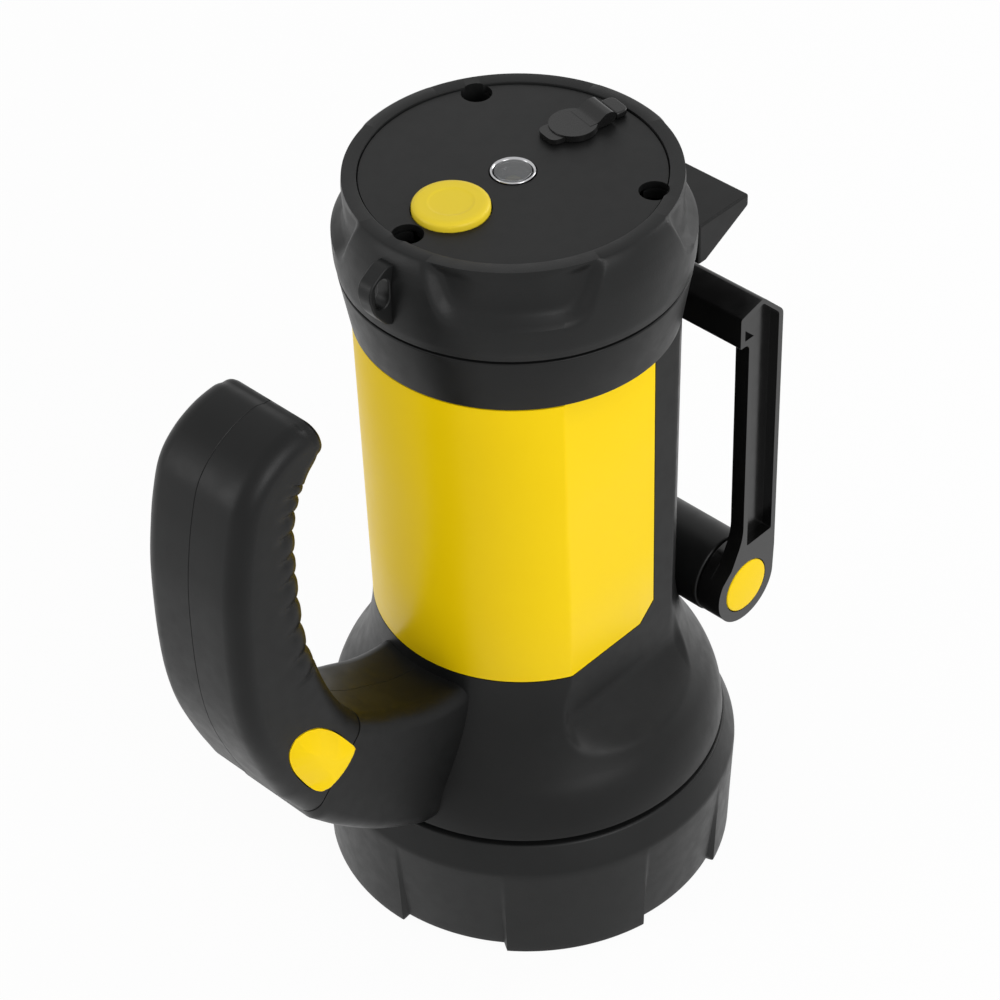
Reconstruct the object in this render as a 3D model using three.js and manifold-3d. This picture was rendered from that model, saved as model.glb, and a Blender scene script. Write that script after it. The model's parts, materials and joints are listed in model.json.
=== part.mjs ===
// A rechargeable hand torch that stands on its lens bezel, with a pistol grip on a
// swivelling elbow and a folding stand on the other side.
// Lengths are millimetres. Inside the group, heights are measured from the plane of the
// bezel's feet, up the beam axis. +X points to the folding stand and -X to the grip.
// The exported group is lowered so that its origin is the centre of the lens's outer face.

import * as THREE from 'three';
import { mergeVertices } from 'three/addons/utils/BufferGeometryUtils.js';
import Module from 'manifold-3d';

const wasm = await Module();
wasm.setup();

// Fits and finish shared by the pieces
const gap = 0.3;
const overrun = 5;
const mergeDistance = 1e-3;
const largeSides = 40;
const mediumSides = 20;
const smallSides = 8;

// Head: lens, seal, reflector and the bezel that screws over them
const lens = { radius: 54.4, thickness: 2.8, recess: 3.6, sideClearance: 0.4 };
const lensPocket = lens.radius + lens.sideClearance;
const lensSeal = { width: 3.4, thickness: 1.5 };
const reflector = { mouthRadius: 50, neckRadius: 10, focus: 12, wall: 1.5, flange: 1.5, steps: 5 };
const bezelWall = { foot: 5, shoulder: 6.5, top: 3.1 };
const bezel = {
  lipRadius: 51.5,
  footRadius: lensPocket + bezelWall.foot,
  footChamfer: 1.2,
  shoulderRadius: lensPocket + bezelWall.shoulder,
  shoulderHeight: 34,
  topRadius: lensPocket + bezelWall.top,
  topHeight: 42.6,
  groove: 1.5,
  padCount: 5,
  padDepth: 1.5,
  padRise: 1.8,
  padTopMargin: 1,
  padAngle: THREE.MathUtils.degToRad(41),
  padTurn: THREE.MathUtils.degToRad(-123.5),
};
const emitter = { radius: 3, height: 1.5, boardRadius: 8, boardThickness: 1.6 };
const emitterScrew = { spread: 5.4, headRadius: 1.6, headHeight: 0.7, shankRadius: 0.9, length: 5 };
const heatSink = {
  plateRadius: 40.9,
  plateThickness: 3.2,
  pedestalRadius: 8,
  finCount: 4,
  finPitch: 13,
  finThickness: 2.4,
  finHeight: 9,
  finHalfLength: 28,
};

// Body shell: skirt inside the bezel, flare, and a tube with two flats
const shell = {
  skirtRadius: 55.2,
  wall: 2.8,
  flareRadius: 57.5,
  lowerRadius: 43,
  upperRadius: 44,
  flareTop: 92.6,
  top: 190,
  flat: 37.6,
  flatHalfWidth: 25,
  backFlat: 41.6,
  backFlatBottom: 97,
  cavityRadius: 38.8,
  cavityFlat: 33.2,
  seatRadius: 41.2,
  conicalStart: 46,
  scoopTop: 76.5,
  scoopBottom: 63.8,
  scoopReach: 58,
};
// From the flare's lower edge up to the tube: share of the way from the tube's radius
// out to the flare's, and share of the flare's height
const flareShares = [
  [1, 0], [0.97, 0.09], [0.9, 0.18], [0.77, 0.28], [0.59, 0.375], [0.41, 0.48],
  [0.255, 0.59], [0.145, 0.69], [0.076, 0.79], [0.028, 0.895], [0, 1],
];
// The scooped recess below each flat: share of the reach past the flat, share of its height
const scoopShares = [[0, 1], [0.1, 0.72], [0.34, 0.38], [0.8, 0.08], [1, 0]];

const sleeve = { thickness: 1.5, edge: 13, bottom: 92.6, cornerWidth: 5.7, cornerHeight: 5.4 };
const collar = {
  height: 17.8,
  bottomRadius: 44.2,
  topRadius: 47.1,
  boreRadius: 36,
  boreFlat: 30.4,
  spigot: 8,
  sealInner: 41,
  sealOuter: 43.4,
  sealDepth: 1.3,
};
const rearFoot = { face: 60.3, halfWidth: 29.3, faceHeight: 3.8, root: 40, rootHeight: 12.6, heel: 43 };

// Rear ring with four finger scallops and a lanyard lug
const ring = {
  height: 25.9,
  bottomRadius: 47.1,
  lobeRadius: 47.9,
  topRadius: 44.3,
  pocketRadius: 40.3,
  pocketDepth: 2.8,
  ledgeRadius: 34,
  ledgeThickness: 2.8,
  boreRadius: 38.6,
  floorRadius: 46,
  floorTopRadius: 44.4,
  scallopCount: 4,
  scallopTopHalf: 25.5,
  scallopBottomHalf: 17.5,
  scallopRise: 11.2,
  scallopCorner: 4,
};
// The rear ring, its screws and the plate sit turned by this much against the body
const rearTurn = THREE.MathUtils.degToRad(-2);
// The outer wall from bottom to top: share of the lobe's swell (negative falls back to the
// top radius), and share of the ring's height
const ringBulgeShares = [[0, 0], [0.75, 0.14], [1, 0.34], [0.9, 0.56], [-0.1, 0.78]];
const ringRimShares = [[0.72, 0.9], [0.3, 0.98], [0, 1]];
const lug = {
  root: 44,
  reach: 55.2,
  rise: 3.4,
  height: 19.5,
  thickness: 4.6,
  holeRadius: 2.35,
  holeReach: 50.6,
  holeRise: 13.5,
  holeHeight: 4.2,
};
const lugShares = [[0, 0.97], [0.44, 1], [0.94, 0.82], [1, 0.64], [0.87, 0.37], [0.5, 0.09], [0.1, 0]];
const rearScrew = {
  circle: 37.4,
  angles: [60, 180, 300].map(THREE.MathUtils.degToRad),
  plateHoleRadius: 4.2,
  wellRadius: 3.8,
  wellRise: 9.6,
  bossRadius: 5.4,
  bossHeight: 19.8,
  holeRadius: 2,
  holeDepth: 13,
  headRadius: 3.2,
  headHeight: 2.4,
  shankRadius: 1.7,
  length: 22,
};

// Rear plate and what it carries
const plate = { radius: 40, thickness: 1.9, postRadius: 2.4, postLength: 6.5, postX: 11, postY: 17, pinRadius: 1.1 };
const board = { radius: 30.8, thickness: 1.6, pinClearance: 0.4 };
const button = {
  x: -22.2,
  radius: 10.2,
  proud: 2.2,
  chamfer: 0.8,
  flangeRadius: 10.9,
  flangeThickness: 1.3,
  stemRadius: 3.5,
  stemLength: 2.3,
  travel: 1.5,
};
const powerSwitch = { halfWidth: 5.5, height: 3, boreRadius: 3.9, boreDepth: 2.1 };
const indicator = { radius: 6, hole: 6.3, flangeRadius: 7.2, flangeThickness: 1.3, proud: 0.5, ledRadius: 2.5, ledHeight: 3.6 };
// The charging socket and its rubber cover, in their own frame: x runs to the hinge
const charging = { x: 24.3, y: 1.2, turn: THREE.MathUtils.degToRad(-12) };
const socket = { thickness: 3.3, width: 9.2, height: 6.2, mouthThickness: 2.1, mouthWidth: 8, mouthDepth: 5 };
const socketWell = { thickness: 6, width: 10.4 };
const cover = {
  radius: 6.5,
  thickness: 1.8,
  tabReach: 9.2,
  tabHalfWidth: 3.8,
  tabCorner: 2.6,
  plugThickness: 3.4,
  plugWidth: 8.6,
  plugDepth: 1.6,
  hingeX: 9,
  hingeRadius: 1.8,
  strapHalfWidth: 4.3,
  strapThickness: 1.4,
};
const coverAnchor = {
  clearance: 0.6,
  length: 4.2,
  halfWidth: 3.8,
  height: 2.2,
  stemRadius: 1.5,
  stemLength: 1.7,
};

// Cells and leads
const cell = { radius: 9.15, length: 65, pitch: 19.5, capRadius: 3, capHeight: 1 };
const holder = { bottom: 90, thickness: 4, pocketDepth: 2.5, pocketClearance: 0.35, centreRadius: 4.2 };
const lead = { radius: 0.9, spread: 2.2 };

// Folding stand
const pivot = {
  x: 48.6,
  z: 81.8,
  tubeRadius: 12.3,
  hubRadius: 12,
  hubInner: 33.7,
  rodRadius: 3,
  rodClearance: 0.3,
  screwPocketRadius: 6.2,
  screwPocketFloor: 37.4,
  capPocketRadius: 8.7,
  capPocketDepth: 2.1,
};
const stand = {
  outer: 42,
  inner: 37.3,
  armInner: 46.7,
  armOuter: 61,
  barInner: 43,
  footClearance: 11.5,
  barHeight: 12.4,
  barPeakShare: 0.5167,
  barCornerShare: 0.8145,
  barShoulderShare: 0.2984,
  rim: 1.8,
  troughDepth: 3.2,
  troughBottom: 97,
  barWall: 2.4,
  neckHeight: 19,
  neckFootX: 42,
  neckFootRise: 9.6,
};
const standCap = { radius: 8.4, thickness: 2 };
const standWasher = { radius: 5.7, thickness: 0.8 };
const standScrew = { headRadius: 5.4, headHeight: 0.9, shankRadius: 1.5, length: 9, boreRadius: 1.8 };

// Handle: elbow arm on the head, 45 degree swivel, and the grip
const elbow = { reachShare: 0.74, z: 94.3, halfChord: 15, halfWidth: 16.6, corner: 5, endWall: 3.2 };
const arm = { halfWidth: 16.6, wall: 2.8, cavityEnd: 3 };
// Arm stations: top x and z, then bottom x and z, as shares of the elbow's x and z
const armShares = [
  [0.857, 1.097, 1.099, 0.844],
  [0.779, 1.046, 0.997, 0.74],
  [0.706, 1.012, 0.857, 0.621],
  [0.612, 0.969, 0.723, 0.537],
  [0.523, 0.946, 0.634, 0.494],
  [0.428, 0.937, 0.478, 0.492],
];
const grip = {
  reach: 121.5,
  top: 212.6,
  halfWidth: 17.5,
  corner: 5.5,
  wall: 2.6,
  cornerSteps: 3,
  ribCount: 9,
  ribDepth: 1.1,
  ribFirst: 3,
  ribLast: 10,
  cavityLast: 12,
};
const elbowX = -grip.reach * elbow.reachShare;
// Grip stations: outer x and z, inner x and z, and width. x is a share of the reach,
// z a share of the height above the elbow, and width a share of the half width
const gripShares = [
  [0.892, 0.009, 0.688, 0.138, 0.97],
  [0.935, 0.111, 0.723, 0.214, 0.99],
  [0.971, 0.217, 0.749, 0.283, 1],
  [0.991, 0.319, 0.767, 0.349, 1],
  [0.999, 0.429, 0.787, 0.437, 1],
  [1, 0.538, 0.795, 0.538, 1],
  [0.995, 0.64, 0.798, 0.631, 1],
  [0.984, 0.729, 0.797, 0.708, 1],
  [0.966, 0.816, 0.79, 0.78, 1],
  [0.94, 0.899, 0.774, 0.828, 0.99],
  [0.895, 0.951, 0.756, 0.858, 0.98],
  [0.836, 0.986, 0.737, 0.877, 0.97],
  [0.776, 1, 0.721, 0.89, 0.96],
  [0.736, 0.983, 0.708, 0.907, 0.95],
  [0.718, 0.956, 0.703, 0.924, 0.94],
];
const spool = { radius: 6.5, flangeRadius: 9.3, flangeThickness: 2.5, boreRadius: 3.6 };
const lockButton = {
  width: 27,
  height: 32,
  corners: [3, 4.4, 4.4, 5, 5],
  outer: -20.3,
  inner: -12.8,
  chamfer: 1.2,
  stemRadius: 3.2,
  stemEnd: -5,
  travel: 3,
};
// The button's corners from the elbow's centre, as shares of its width and height
const lockShares = [[0.144, 0.272], [0.041, 0.05], [-0.356, -0.034], [-0.722, 0.566], [-0.448, 0.788]];
const lockStemShares = [-0.41, 0.47];
const lockSpring = { radius: 4.3, wire: 0.45, turns: 3, stepsPerTurn: 8, sides: 5 };
const lockBoss = { radius: 5.6, end: -0.7 };

// Screws that close the two clamshells
const shellScrew = {
  headRadius: 3,
  headHeight: 2.2,
  shankRadius: 1.5,
  holeRadius: 1.8,
  counterboreRadius: 3.3,
  bossRadius: 4,
  tipDepth: 11,
  tipClearance: 0.5,
};
const gripScrewSeat = 13.5;
const armScrewSeat = 12.8;
const bodyScrewX = 34.5;
const bodyScrewSeat = 17.5;
// Places of the screws: share of the way along the piece, and share of the way across it
const gripScrewShares = [[0.2, 0.4], [0.45, 0.42], [0.7, 0.45]];
const armScrewShares = [[0.2, 0.72], [0.38, 0.5]];
const bodyScrewShares = [0.2, 0.82];

// Heights that follow from the stack in the head
const lensBack = lens.recess + lens.thickness;
const sealTop = lensBack + gap + lensSeal.thickness;
const flangeBottom = sealTop + gap;
const flangeTop = flangeBottom + reflector.flange;
const skirtBottom = flangeTop + gap;
const flareBottom = bezel.topHeight + bezel.groove;
const apex = flangeBottom + reflector.mouthRadius ** 2 / (4 * reflector.focus);
const neckHeight = apex - reflector.neckRadius ** 2 / (4 * reflector.focus);
const focusHeight = apex - reflector.focus;
const sinkBottom = neckHeight + gap;
const ledgeHeight = sinkBottom + heatSink.plateThickness + gap;
const emitterTop = focusHeight + emitter.height / 2;
const emitterBoardBottom = emitterTop + gap;
const emitterBoardTop = emitterBoardBottom + emitter.boardThickness;

// Heights that follow from the stack at the rear
const collarTop = shell.top + collar.height;
const ringBottom = collarTop + gap;
const ringTop = ringBottom + ring.height;
const wellFloor = ringBottom + rearScrew.wellRise;
const plateBottom = ringTop - ring.pocketDepth + gap;
const plateTop = plateBottom + plate.thickness;
const ledgeTop = ringTop - ring.pocketDepth;
const boardTop = plateBottom - plate.postLength - gap;
const boardBottom = boardTop - board.thickness;

// The stand's bar: its ridge as a share of its depth, and its edges as shares of its height
const barPeak = collarTop - rearFoot.rootHeight - stand.footClearance;
const barBottom = barPeak - stand.barHeight;
const barCorner = THREE.MathUtils.lerp(barBottom, barPeak, stand.barCornerShare);
const barShoulder = THREE.MathUtils.lerp(barBottom, barPeak, stand.barShoulderShare);
const barPeakX = THREE.MathUtils.lerp(stand.barInner, stand.armOuter, stand.barPeakShare);

// Materials
function finish(color, roughness, metalness = 0) {
  return new THREE.MeshStandardMaterial({ color, roughness, metalness });
}
const materials = {
  softBlack: finish(0x303131, 0.72),
  black: finish(0x2b2c2c, 0.5),
  glossBlack: finish(0x161616, 0.2),
  rubber: finish(0x242424, 0.65),
  yellow: finish(0xf3cf14, 0.38),
  clear: finish(0xe8f0f2, 0.08),
  mirror: finish(0xd8d8d8, 0.08, 1),
  aluminium: finish(0xb9bcc0, 0.35, 1),
  steel: finish(0x8f9296, 0.3, 1),
  greenBoard: finish(0x1d5a34, 0.5),
  emitterYellow: finish(0xf0e070, 0.4),
  cellWrap: finish(0x2f6fa8, 0.45),
  redWire: finish(0xb3201c, 0.5),
  blackWire: finish(0x1a1a1a, 0.5),
  whitePlastic: finish(0xd9d7cf, 0.55),
};

const torch = new THREE.Group();
torch.position.z = -lens.recess;
const rear = new THREE.Group();
rear.rotation.z = rearTurn;
const chargingPlace = new THREE.Group();
chargingPlace.position.set(charging.x, charging.y, 0);
chargingPlace.rotation.z = charging.turn;
torch.add(rear, chargingPlace);

// Solids and meshes

function solid(geometry) {
  geometry.deleteAttribute('normal');
  geometry.deleteAttribute('uv');
  const merged = mergeVertices(geometry, mergeDistance);
  const position = merged.getAttribute('position');
  const index = merged.getIndex();
  const corners = [new THREE.Vector3(), new THREE.Vector3(), new THREE.Vector3()];
  const triangles = [];
  let volume = 0;
  for (let i = 0; i < index.count; i += 3) {
    const [a, b, c] = [index.getX(i), index.getX(i + 1), index.getX(i + 2)];
    if (a === b || b === c || c === a) continue;
    triangles.push(a, b, c);
    [a, b, c].forEach((vertex, k) => corners[k].fromBufferAttribute(position, vertex));
    volume += corners[0].dot(corners[1].cross(corners[2]));
  }
  if (volume < 0) triangles.reverse();
  const mesh = new wasm.Mesh({
    numProp: 3,
    vertProperties: new Float32Array(position.array),
    triVerts: new Uint32Array(triangles),
  });
  return new wasm.Manifold(mesh);
}

function geometryOf(body) {
  const { vertProperties, triVerts } = body.getMesh();
  const geometry = new THREE.BufferGeometry();
  geometry.setAttribute('position', new THREE.BufferAttribute(new Float32Array(vertProperties), 3));
  geometry.setIndex(new THREE.BufferAttribute(new Uint32Array(triVerts), 1));
  geometry.computeVertexNormals();
  return geometry;
}

function addPiece(name, body, material, parent = torch) {
  const mesh = new THREE.Mesh(geometryOf(body), material);
  mesh.name = name;
  parent.add(mesh);
}

function join(bodies) {
  return bodies.reduce((whole, body) => whole.add(body));
}

function cut(body, cutters) {
  return cutters.reduce((rest, cutter) => rest.subtract(cutter), body);
}

// A solid turned about the beam axis from [radius, height] points
function turned(profile, sides = largeSides) {
  const points = profile.map(([radius, height]) => new THREE.Vector2(radius, height));
  points.push(points[0].clone());
  const geometry = new THREE.LatheGeometry(points, sides);
  geometry.rotateX(Math.PI / 2);
  return solid(geometry);
}

function disc(radius, low, high, sides = mediumSides) {
  return turned([[0, low], [radius, low], [radius, high], [0, high]], sides);
}

function tube(inner, outer, low, high, sides = largeSides) {
  return turned([[inner, low], [outer, low], [outer, high], [inner, high]], sides);
}

// A copy of a solid moved and turned by a matrix
function placed(body, matrix) {
  const geometry = geometryOf(body);
  geometry.applyMatrix4(matrix);
  return solid(geometry);
}

function moved(body, x, y, z = 0) {
  return placed(body, new THREE.Matrix4().makeTranslation(x, y, z));
}

function turnedBy(body, angle) {
  return placed(body, new THREE.Matrix4().makeRotationZ(angle));
}

function shapeOf(points) {
  return new THREE.Shape(points.map(([x, y]) => new THREE.Vector2(x, y)));
}

function extruded(shape, low, high, basis) {
  const geometry = new THREE.ExtrudeGeometry(shape, { depth: high - low, bevelEnabled: false });
  geometry.translate(0, 0, low);
  geometry.applyMatrix4(basis);
  return solid(geometry);
}

const axisX = new THREE.Vector3(1, 0, 0);
const axisY = new THREE.Vector3(0, 1, 0);
const axisZ = new THREE.Vector3(0, 0, 1);

// An outline of [x, z] points drawn along Y
function alongY(points, low, high) {
  const basis = new THREE.Matrix4().makeBasis(axisX, axisZ, axisY.clone().negate());
  return extruded(shapeOf(points), -high, -low, basis);
}

// An outline of [y, z] points drawn along X
function alongX(points, low, high) {
  const basis = new THREE.Matrix4().makeBasis(axisY, axisZ, axisX);
  return extruded(shapeOf(points), low, high, basis);
}

// An outline of [x, y] points drawn along Z
function alongZ(points, low, high) {
  return extruded(shapeOf(points), low, high, new THREE.Matrix4());
}

function block(x, y, z) {
  return alongZ([[x[0], y[0]], [x[1], y[0]], [x[1], y[1]], [x[0], y[1]]], z[0], z[1]);
}

// A cylinder between two points
function rod(from, to, radius, sides = mediumSides) {
  const direction = to.clone().sub(from);
  const geometry = new THREE.CylinderGeometry(radius, radius, direction.length(), sides);
  geometry.applyQuaternion(new THREE.Quaternion().setFromUnitVectors(axisY, direction.normalize()));
  const middle = from.clone().add(to).multiplyScalar(0.5);
  geometry.translate(middle.x, middle.y, middle.z);
  return solid(geometry);
}

// A cylinder along Y at [x, z]
function crossRod([x, z], low, high, radius, sides = mediumSides) {
  return rod(new THREE.Vector3(x, low, z), new THREE.Vector3(x, high, z), radius, sides);
}

// A closed skin through rings of points, with a flat cap at each end
function loft(rings) {
  const count = rings[0].length;
  const positions = rings.flat().flatMap((point) => point.toArray());
  const indices = [];
  for (let i = 0; i + 1 < rings.length; i += 1) {
    for (let j = 0; j < count; j += 1) {
      const a = i * count + j;
      const b = i * count + ((j + 1) % count);
      indices.push(a, b, b + count, a, b + count, a + count);
    }
  }
  const last = (rings.length - 1) * count;
  for (let j = 1; j + 1 < count; j += 1) {
    indices.push(0, j + 1, j);
    indices.push(last, last + j, last + j + 1);
  }
  const geometry = new THREE.BufferGeometry();
  geometry.setAttribute('position', new THREE.Float32BufferAttribute(positions, 3));
  geometry.setIndex(indices);
  return solid(geometry);
}

// A rectangle with round corners between two points of the XZ plane, as wide along Y
// as twice the half width
function sectionRing(first, second, halfWidth, corner) {
  const middle = first.clone().add(second).multiplyScalar(0.5);
  const along = second.clone().sub(first).normalize();
  const halfLength = first.distanceTo(second) / 2;
  const radius = Math.min(corner, halfLength * 0.9, halfWidth * 0.9);
  const quarters = [[1, 1], [-1, 1], [-1, -1], [1, -1]];
  return quarters.flatMap(([sideAlong, sideAcross], quarter) => (
    Array.from({ length: grip.cornerSteps + 1 }, (_, step) => {
      const angle = ((quarter + step / grip.cornerSteps) * Math.PI) / 2;
      const u = sideAlong * (halfLength - radius) + radius * Math.cos(angle);
      const v = sideAcross * (halfWidth - radius) + radius * Math.sin(angle);
      return middle.clone().addScaledVector(along, u).addScaledVector(axisY, v);
    })
  ));
}

// A polygon whose corners are cut back by the given lengths and rounded
function roundedOutline(points, cuts, steps = 4) {
  const vertices = points.map(([x, y]) => new THREE.Vector2(x, y));
  return vertices.flatMap((corner, i) => {
    const before = vertices[(i + vertices.length - 1) % vertices.length];
    const after = vertices[(i + 1) % vertices.length];
    const start = corner.clone().add(before.clone().sub(corner).setLength(cuts[i]));
    const end = corner.clone().add(after.clone().sub(corner).setLength(cuts[i]));
    const curve = new THREE.QuadraticBezierCurve(start, corner, end);
    return curve.getPoints(steps).map((point) => point.toArray());
  });
}

// An outline moved outwards by a distance
function grown(points, distance) {
  const vertices = points.map(([x, y]) => new THREE.Vector2(x, y));
  const area = THREE.ShapeUtils.area(vertices);
  const side = Math.sign(area) * distance;
  return vertices.map((point, i) => {
    const before = vertices[(i + vertices.length - 1) % vertices.length];
    const after = vertices[(i + 1) % vertices.length];
    const first = point.clone().sub(before).normalize();
    const second = after.clone().sub(point).normalize();
    const normal = new THREE.Vector2(first.y + second.y, -first.x - second.x).normalize();
    const stretch = side / Math.max(normal.dot(new THREE.Vector2(first.y, -first.x)), 0.5);
    return [point.x + normal.x * stretch, point.y + normal.y * stretch];
  });
}

// A screw along Y with its head's face at the given place and its tip towards -Y
function sideScrew([x, z], seat) {
  const head = seat + gap;
  const shankEnd = head + shellScrew.headHeight / 2;
  return crossRod([x, z], head, head + shellScrew.headHeight, shellScrew.headRadius, smallSides)
    .add(crossRod([x, z], -shellScrew.tipDepth, shankEnd, shellScrew.shankRadius, smallSides));
}

// The boss of a side screw, left standing across the cavity of a clamshell
function sideBoss([x, z]) {
  return crossRod([x, z], -shell.cavityFlat, shell.cavityFlat, shellScrew.bossRadius, smallSides);
}

// The hole and counterbore of a side screw
function sideHole([x, z], seat) {
  const reach = grip.halfWidth + overrun + seat;
  const tip = -shellScrew.tipDepth - shellScrew.tipClearance;
  return crossRod([x, z], tip, reach, shellScrew.holeRadius, smallSides)
    .add(crossRod([x, z], seat, reach, shellScrew.counterboreRadius, smallSides));
}

// One half of a body, on the given side of the plane Y = 0
function halfOf(body, side) {
  const far = bezel.shoulderRadius * 2;
  const near = gap / 2;
  const y = side > 0 ? [near, far] : [-far, -near];
  return body.intersect(block([-grip.reach - far, far], y, [-far, ringTop + far]));
}

// Head

function bezelRing() {
  const lip = lens.recess;
  const thread = shell.skirtRadius + gap;
  const inside = [
    [thread, bezel.topHeight],
    [thread, skirtBottom - gap],
    [lensPocket, skirtBottom - gap],
    [lensPocket, lip],
    [bezel.lipRadius, lip],
  ];
  const ringBody = turned([
    [bezel.lipRadius, bezel.padRise],
    [bezel.footRadius - bezel.padDepth, bezel.padRise],
    [bezel.shoulderRadius, bezel.shoulderHeight],
    [bezel.topRadius, bezel.topHeight],
    ...inside,
  ]);
  const padTop = bezel.shoulderHeight - bezel.padTopMargin;
  const lean = (bezel.shoulderRadius - bezel.footRadius) / bezel.shoulderHeight;
  const padBand = turned([
    [bezel.lipRadius, 0],
    [bezel.footRadius - bezel.footChamfer, 0],
    [bezel.footRadius, bezel.footChamfer],
    [bezel.footRadius + lean * padTop, padTop],
    [lensPocket + bezel.padDepth, padTop],
    [lensPocket + bezel.padDepth, lip],
    [bezel.lipRadius, lip],
  ]);
  const reach = bezel.shoulderRadius * 2;
  const pads = Array.from({ length: bezel.padCount }, (_, i) => {
    const middle = bezel.padTurn + (i * 2 * Math.PI) / bezel.padCount;
    const corners = [-0.5, 0, 0.5].map((share) => {
      const angle = middle + share * bezel.padAngle;
      return [reach * Math.cos(angle), reach * Math.sin(angle)];
    });
    return padBand.intersect(alongZ([[0, 0], ...corners], -overrun, padTop + overrun));
  });
  return join([ringBody, ...pads]);
}

// The lens's face fills the opening of the lip, and its thinner rim sits behind the lip
function frontLens() {
  const face = disc(bezel.lipRadius - lens.sideClearance, lens.recess, lensBack, largeSides);
  return face.add(disc(lens.radius, lens.recess + gap, lensBack, largeSides));
}

function reflectorBowl() {
  const inner = [];
  for (let i = 0; i <= reflector.steps; i += 1) {
    const radius = THREE.MathUtils.lerp(reflector.mouthRadius, reflector.neckRadius, i / reflector.steps);
    inner.push([radius, apex - radius ** 2 / (4 * reflector.focus)]);
  }
  const outer = inner.map(([radius, height]) => [radius + reflector.wall, height]).reverse();
  outer[outer.length - 1] = [reflector.mouthRadius + reflector.wall, flangeTop];
  return turned([...inner, ...outer, [lens.radius, flangeTop], [lens.radius, flangeBottom]]);
}

function heatSinkBody() {
  const plateTopHeight = sinkBottom + heatSink.plateThickness;
  const fins = Array.from({ length: heatSink.finCount }, (_, i) => {
    const y = (i - (heatSink.finCount - 1) / 2) * heatSink.finPitch;
    const half = heatSink.finThickness / 2;
    const z = [plateTopHeight - half, plateTopHeight + heatSink.finHeight];
    return block([-heatSink.finHalfLength, heatSink.finHalfLength], [y - half, y + half], z);
  });
  const body = join([
    disc(heatSink.plateRadius, sinkBottom, plateTopHeight, largeSides),
    disc(heatSink.pedestalRadius, emitterBoardTop + gap, sinkBottom + heatSink.plateThickness / 2),
    ...fins,
  ]);
  return cut(body, emitterScrewHoles());
}

function emitterScrewPlaces() {
  return [-emitterScrew.spread, emitterScrew.spread];
}

function emitterScrewHoles() {
  const radius = emitterScrew.shankRadius + gap;
  const top = emitterBoardBottom + emitterScrew.length + gap;
  return emitterScrewPlaces().map((x) => moved(disc(radius, 0, top, smallSides), x, 0));
}

function emitterScrewAt(x) {
  const seat = emitterBoardBottom - gap;
  const low = seat - emitterScrew.headHeight;
  const head = disc(emitterScrew.headRadius, low, seat, smallSides);
  const shank = disc(emitterScrew.shankRadius, low / 2 + seat / 2, seat + emitterScrew.length, smallSides);
  return moved(head.add(shank), x, 0);
}

function addHead() {
  addPiece('bezel_ring', bezelRing(), materials.softBlack);
  addPiece('front_lens', frontLens(), materials.clear);
  const sealInner = lens.radius - lensSeal.width;
  addPiece('lens_seal', tube(sealInner, lens.radius, lensBack + gap, sealTop), materials.rubber);
  addPiece('reflector', reflectorBowl(), materials.mirror);
  const emitterLow = emitterTop - emitter.height;
  addPiece('led_emitter', disc(emitter.radius, emitterLow, emitterTop, smallSides), materials.emitterYellow);
  const emitterBoard = disc(emitter.boardRadius, emitterBoardBottom, emitterBoardTop);
  addPiece('led_board', cut(emitterBoard, emitterScrewHoles()), materials.whitePlastic);
  addPiece('heat_sink', heatSinkBody(), materials.aluminium);
  emitterScrewPlaces().forEach((x, i) => {
    addPiece(`led_screw_${i + 1}`, emitterScrewAt(x), materials.steel);
  });
}

// Body shell

function barrel(inset, low, high) {
  const radiusAt = (height) => THREE.MathUtils.mapLinear(
    height, shell.flareTop, shell.top, shell.lowerRadius - inset, shell.upperRadius - inset,
  );
  const cone = turned([[0, low], [radiusAt(low), low], [radiusAt(high), high], [0, high]]);
  const flat = shell.flat - inset;
  return cone.intersect(block([-shell.upperRadius, shell.upperRadius], [-flat, flat], [low, high]));
}

function flareOutline() {
  return flareShares.map(([swell, rise]) => [
    THREE.MathUtils.lerp(shell.lowerRadius, shell.flareRadius, swell),
    THREE.MathUtils.lerp(flareBottom, shell.flareTop, rise),
  ]);
}

function flatCutters() {
  const scoop = scoopShares.map(([reach, rise]) => [
    THREE.MathUtils.lerp(shell.flat, shell.scoopReach, reach),
    THREE.MathUtils.lerp(shell.scoopBottom, shell.scoopTop, rise),
  ]);
  const past = shell.scoopReach + overrun;
  const outline = [
    [shell.flat, shell.top + overrun],
    ...scoop,
    [past, shell.scoopBottom],
    [past, shell.top + overrun],
  ];
  const mirrored = outline.map(([y, z]) => [-y, z]);
  return [outline, mirrored].map((points) => alongX(points, -shell.flatHalfWidth, shell.flatHalfWidth));
}

function sleeveOutline(clearance) {
  const left = -shell.upperRadius - overrun;
  const bottom = sleeve.bottom - clearance;
  const edge = sleeve.edge + clearance;
  return [
    [left, bottom],
    [edge - sleeve.cornerWidth, bottom],
    [edge, bottom + sleeve.cornerHeight],
    [edge, shell.top],
    [left, shell.top],
  ];
}

function sleeveZone(clearance) {
  return alongY(sleeveOutline(clearance), -shell.upperRadius, shell.upperRadius);
}

// What is trimmed off the shell and the sleeve so that they clear the rear collar
function topTrim() {
  return disc(shell.upperRadius + overrun, shell.top - gap, shell.top + overrun);
}

function bodySleeve() {
  const outside = barrel(0, sleeve.bottom, shell.top);
  const inside = barrel(sleeve.thickness, sleeve.bottom - overrun, shell.top + overrun);
  return cut(outside, [inside, topTrim()]).intersect(sleeveZone(0));
}

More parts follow.
